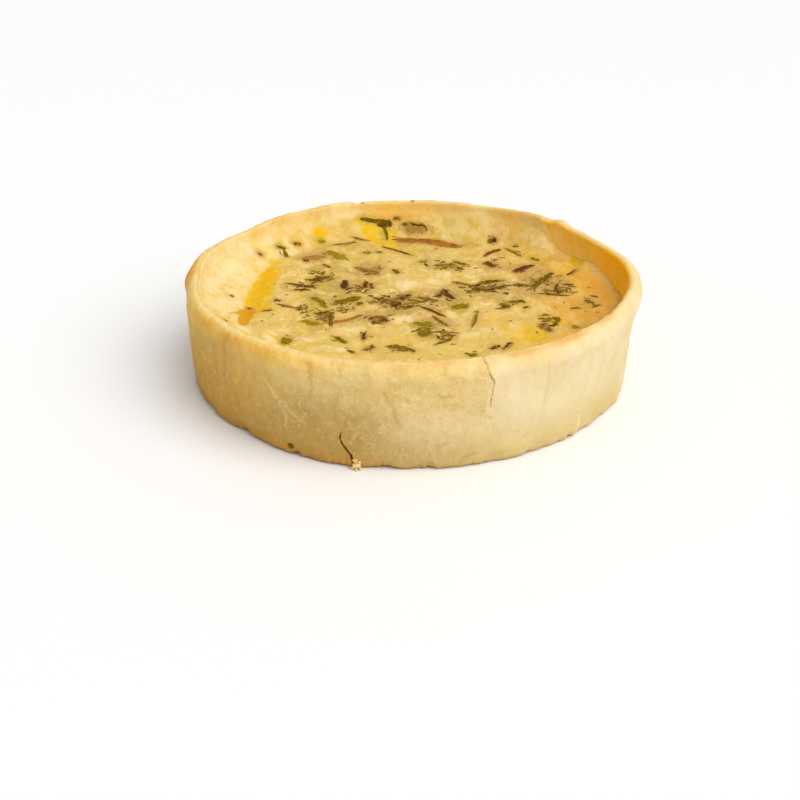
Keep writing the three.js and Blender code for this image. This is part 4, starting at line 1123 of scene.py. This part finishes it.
def custard_finish():
    f = Finish("baked_custard_and_cheese")
    drawn_out = f.stretch(1, CURD_STRETCH, 1)
    broad, fine = f.specks(10, 3, 0.5, 11), f.specks(0.7, 4, 0.65, 13)
    blobs, curds = f.specks(4, 3, 0.55, 12, drawn_out), f.specks(1.8, 3, 0.6, 14, drawn_out)
    tints, flecks = f.specks(3.2, 3, 0.55, 17, drawn_out), f.specks(1.2, 2, 0.5, 15, drawn_out)
    (gold, pocket, toast, bank, cream, dusk, right, rolled, brown, green, olive, tawny, warm, seam, front,
     glow) = f.traits("gold pocket toast bank cream dusk right rolled brown green olive tawny warm seam "
                      "front glow")

    def ragged(trait, by_blobs, by_curds, low, high):
        """0 to 1 across a trait's edge, which the blobs and curds break up."""
        return f.rise(trait + (blobs - 0.5) * by_blobs + (curds - 0.5) * by_curds, low, high)

    patches, gaps = f.rise(tints + curds * 0.2, 0.645, 0.68), f.rise(tints + curds * 0.2, 0.50, 0.545)
    banked = f.layers(f.shade(blobs + curds * 0.5, 0.66, 0.86, (0.815, 0.625, 0.315), (0.775, 0.56, 0.19)), [
        (f.rise(broad + curds * 0.6, 0.76, 0.98) * 0.6, (0.80, 0.56, 0.22))])
    golds = f.layers((0.78, 0.52, 0.09), [
        (ragged(gold, 0, 0.4, 0.2, 0.8), (0.75, 0.425, 0.001)),
        (ragged(gold, 0, 0.8, 1.05, 1.5), (0.72, 0.46, 0.03))])
    plain = f.shade(blobs + broad * 0.5, 0.62, 0.90, (0.725, 0.507, 0.152), (0.655, 0.412, 0.083))
    colour = f.layers(plain, [
        (f.rise(curds + blobs * 0.4, 0.70, 0.86) * 0.65, (0.81, 0.575, 0.212)),
        (f.rise(curds + broad * 0.4, 0.76, 0.90) * 0.4, (0.64, 0.38, 0.05)),
        (patches * 0.5, (0.76, 0.49, 0.20)),
        (0.6 - 0.6 * gaps, (0.83, 0.632, 0.285)),
        (bank * 0.9, banked),
        (dusk * (0.5 + curds * 0.7),
         f.shade(blobs + broad * 0.3, 0.55, 0.78, (0.665, 0.49, 0.16), (0.60, 0.38, 0.06))),
        (front * (0.2 + blobs * 0.6), (0.67, 0.465, 0.09)),
        (ragged(warm, 1.2, 0.8, 0.05, 0.8) * 0.7,
         f.shade(tints, 0.4, 0.6, (0.62, 0.42, 0.06), (0.60, 0.36, 0.10))),
        (right * (0.5 + blobs * 0.8), f.shade(blobs, 0.4, 0.6, (0.66, 0.41, 0.08), (0.60, 0.31, 0.025))),
        (toast * (0.35 + curds * 0.9), (0.74, 0.36, 0.045)),
        (seam * (0.3 + blobs), (0.84, 0.54, 0.15)),
        (ragged(gold, 0.9, 0.6, 0.05, 1.05), golds),
        (rolled * (0.2 + blobs * 0.8), (0.79, 0.51, 0.15)),
        (ragged(rolled, 0, 0.8, 0.7, 1.1) * 0.6, (0.86, 0.65, 0.30)),
        # Golden skin inside the front wall, painted brighter as a glow where it faces away from the light
        (ragged(glow, 0.6, 0.8, 0.1, 0.8), (0.95, 0.56, 0.10)),
        (ragged(pocket, 0, 0.8, 0.2, 0.7), (0.61, 0.28, 0.0005)),
        (ragged(olive.maximum(green * 0.9), 0.8, 1.2, 0.1, 0.6) * 0.75,
         f.shade(fine, 0.4, 0.6, (0.40, 0.27, 0.03), (0.52, 0.37, 0.07))),
        (ragged(tawny.maximum(brown * 0.7), 0.9, 1.3, 0.1, 0.6) * 0.75,
         f.shade(fine, 0.4, 0.6, (0.42, 0.24, 0.05), (0.56, 0.35, 0.11))),
        (ragged(cream, 1.5, 1.3, 0.35, 1.15) * 0.8, (0.85, 0.67, 0.33)),
        (f.rise(brown + (fine - 0.5) * 1.2 + (curds - 0.5), 0.3, 0.9) * 0.7, (0.30, 0.16, 0.03)),
        (f.rise(fine + curds * 0.3, 0.70, 0.84) * (0.35 - 0.22 * bank), (0.56, 0.33, 0.05)),
        (f.rise(flecks + curds * 0.4, 0.82, 0.94) * 0.4, (0.82, 0.64, 0.33))])

    height = (blobs * 0.35 + curds * 0.6 + fine * 0.45 + flecks * 0.3 + patches * 0.25) * (1 - 0.45 * bank)
    return f.surface({
        "Base Color": colour, "Roughness": 0.52 - gold * 0.12 + fine * 0.14,
        "Normal": f.bump(height, strength=0.8, distance=0.5), "Specular IOR Level": 0.06,
        "Coat Weight": 0.02, "Coat Roughness": 0.3,
        "Subsurface Weight": 0.2, "Subsurface Radius": (1.0, 0.6, 0.2), "Subsurface Scale": 0.002})


def herb_finish(name, darkest, middling, lightest):
    """Torn herb or onion in three tones, with custard on its edges."""
    f = Finish(name)
    tone, edge = f.traits("tone edge")
    fine, patches = f.specks(0.5, 3, 0.6, 21), f.specks(1.3, 2, 0.5, 22)
    place = tone + fine * 0.9 + patches * 0.8 - 0.85
    colour = f.layers(darkest, [
        (f.rise(place, 0, 0.5), middling),
        (f.rise(place, 0.5, 1), lightest),
        (f.rise(edge + fine * 0.9, 0.7, 1.5) * 0.7, (0.46, 0.29, 0.055))])
    return f.surface({"Base Color": colour, "Roughness": 0.7 + fine * 0.2,
                      "Normal": f.bump(fine, strength=0.7, distance=0.2), "Specular IOR Level": 0.03})


def floor_finish():
    f = Finish("pale_floor")
    rough = 0.6 + 0.02 * f.specks(60, 3, 0.55, 0)
    return f.surface({"Base Color": (0.86, 0.86, 0.86, 1), "Roughness": rough})


# ---- Floor, light and camera ----
def placed(name, data):
    made = bpy.data.objects.new(name, data)
    bpy.context.scene.collection.objects.link(made)
    return made


def studio():
    """A pale floor, a broad soft light from the right and in front, and a white sky."""
    floor = bpy.data.meshes.new("floor")
    corners = [(x * FLOOR_REACH, y * FLOOR_REACH, 0) for x, y in ((-1, -1), (1, -1), (1, 1), (-1, 1))]
    floor.from_pydata(corners, [], [(0, 1, 2, 3)])
    floor.materials.append(floor_finish())
    ground = placed("floor", floor)

    light = bpy.data.lights.new("window", "SUN")
    light.energy, light.angle, light.color = LIGHT_POWER, math.radians(LIGHT_SPREAD), LIGHT_COLOUR
    (east, north), (level, up) = bearing(LIGHT_AZIMUTH), bearing(LIGHT_ELEVATION)
    shining = Vector((east * level, north * level, up))
    placed("window", light).rotation_euler = shining.to_track_quat("Z", "Y").to_euler()
    world = bpy.data.worlds.new("studio")
    world.use_nodes = True
    world.node_tree.nodes["Background"].inputs["Color"].default_value = (1, 1, 1, 1)
    world.node_tree.nodes["Background"].inputs["Strength"].default_value = SKY_POWER
    bpy.context.scene.world = world
    bpy.context.scene.view_settings.view_transform = "Standard"


def camera():
    """A short telephoto view from 25 degrees above the table, in front of the quiche."""
    data = bpy.data.cameras.new("camera")
    data.lens, data.sensor_width, data.clip_start = LENS, SENSOR, 0.01
    forward, right = Vector(CAMERA_FORWARD), Vector(CAMERA_RIGHT)
    turned = Matrix((right, right.cross(forward), -forward)).transposed().to_4x4()
    made = placed("camera", data)
    made.matrix_world = Matrix.Translation(CAMERA_PLACE) @ turned
    bpy.context.scene.camera = made


camera()
studio()
crust = crust_finish()
pastry_case(crust)
crumbs(crust)
custard(custard_finish())
green_leaves(herb_finish("green_herb", (0.10, 0.052, 0.003), (0.19, 0.11, 0.003), (0.32, 0.205, 0.005)))
dark_flakes(herb_finish("dark_herb", (0.07, 0.026, 0.008), (0.16, 0.07, 0.010), (0.36, 0.19, 0.035)))
fine_bits(herb_finish("fine_herb", (0.11, 0.05, 0.006), (0.22, 0.12, 0.01), (0.36, 0.22, 0.02)))
stalks(herb_finish("brown_stalk", (0.08, 0.028, 0.007), (0.18, 0.075, 0.010), (0.40, 0.21, 0.03)))
onion_shreds(herb_finish("red_onion", (0.10, 0.026, 0.010), (0.24, 0.07, 0.009), (0.40, 0.145, 0.015)))
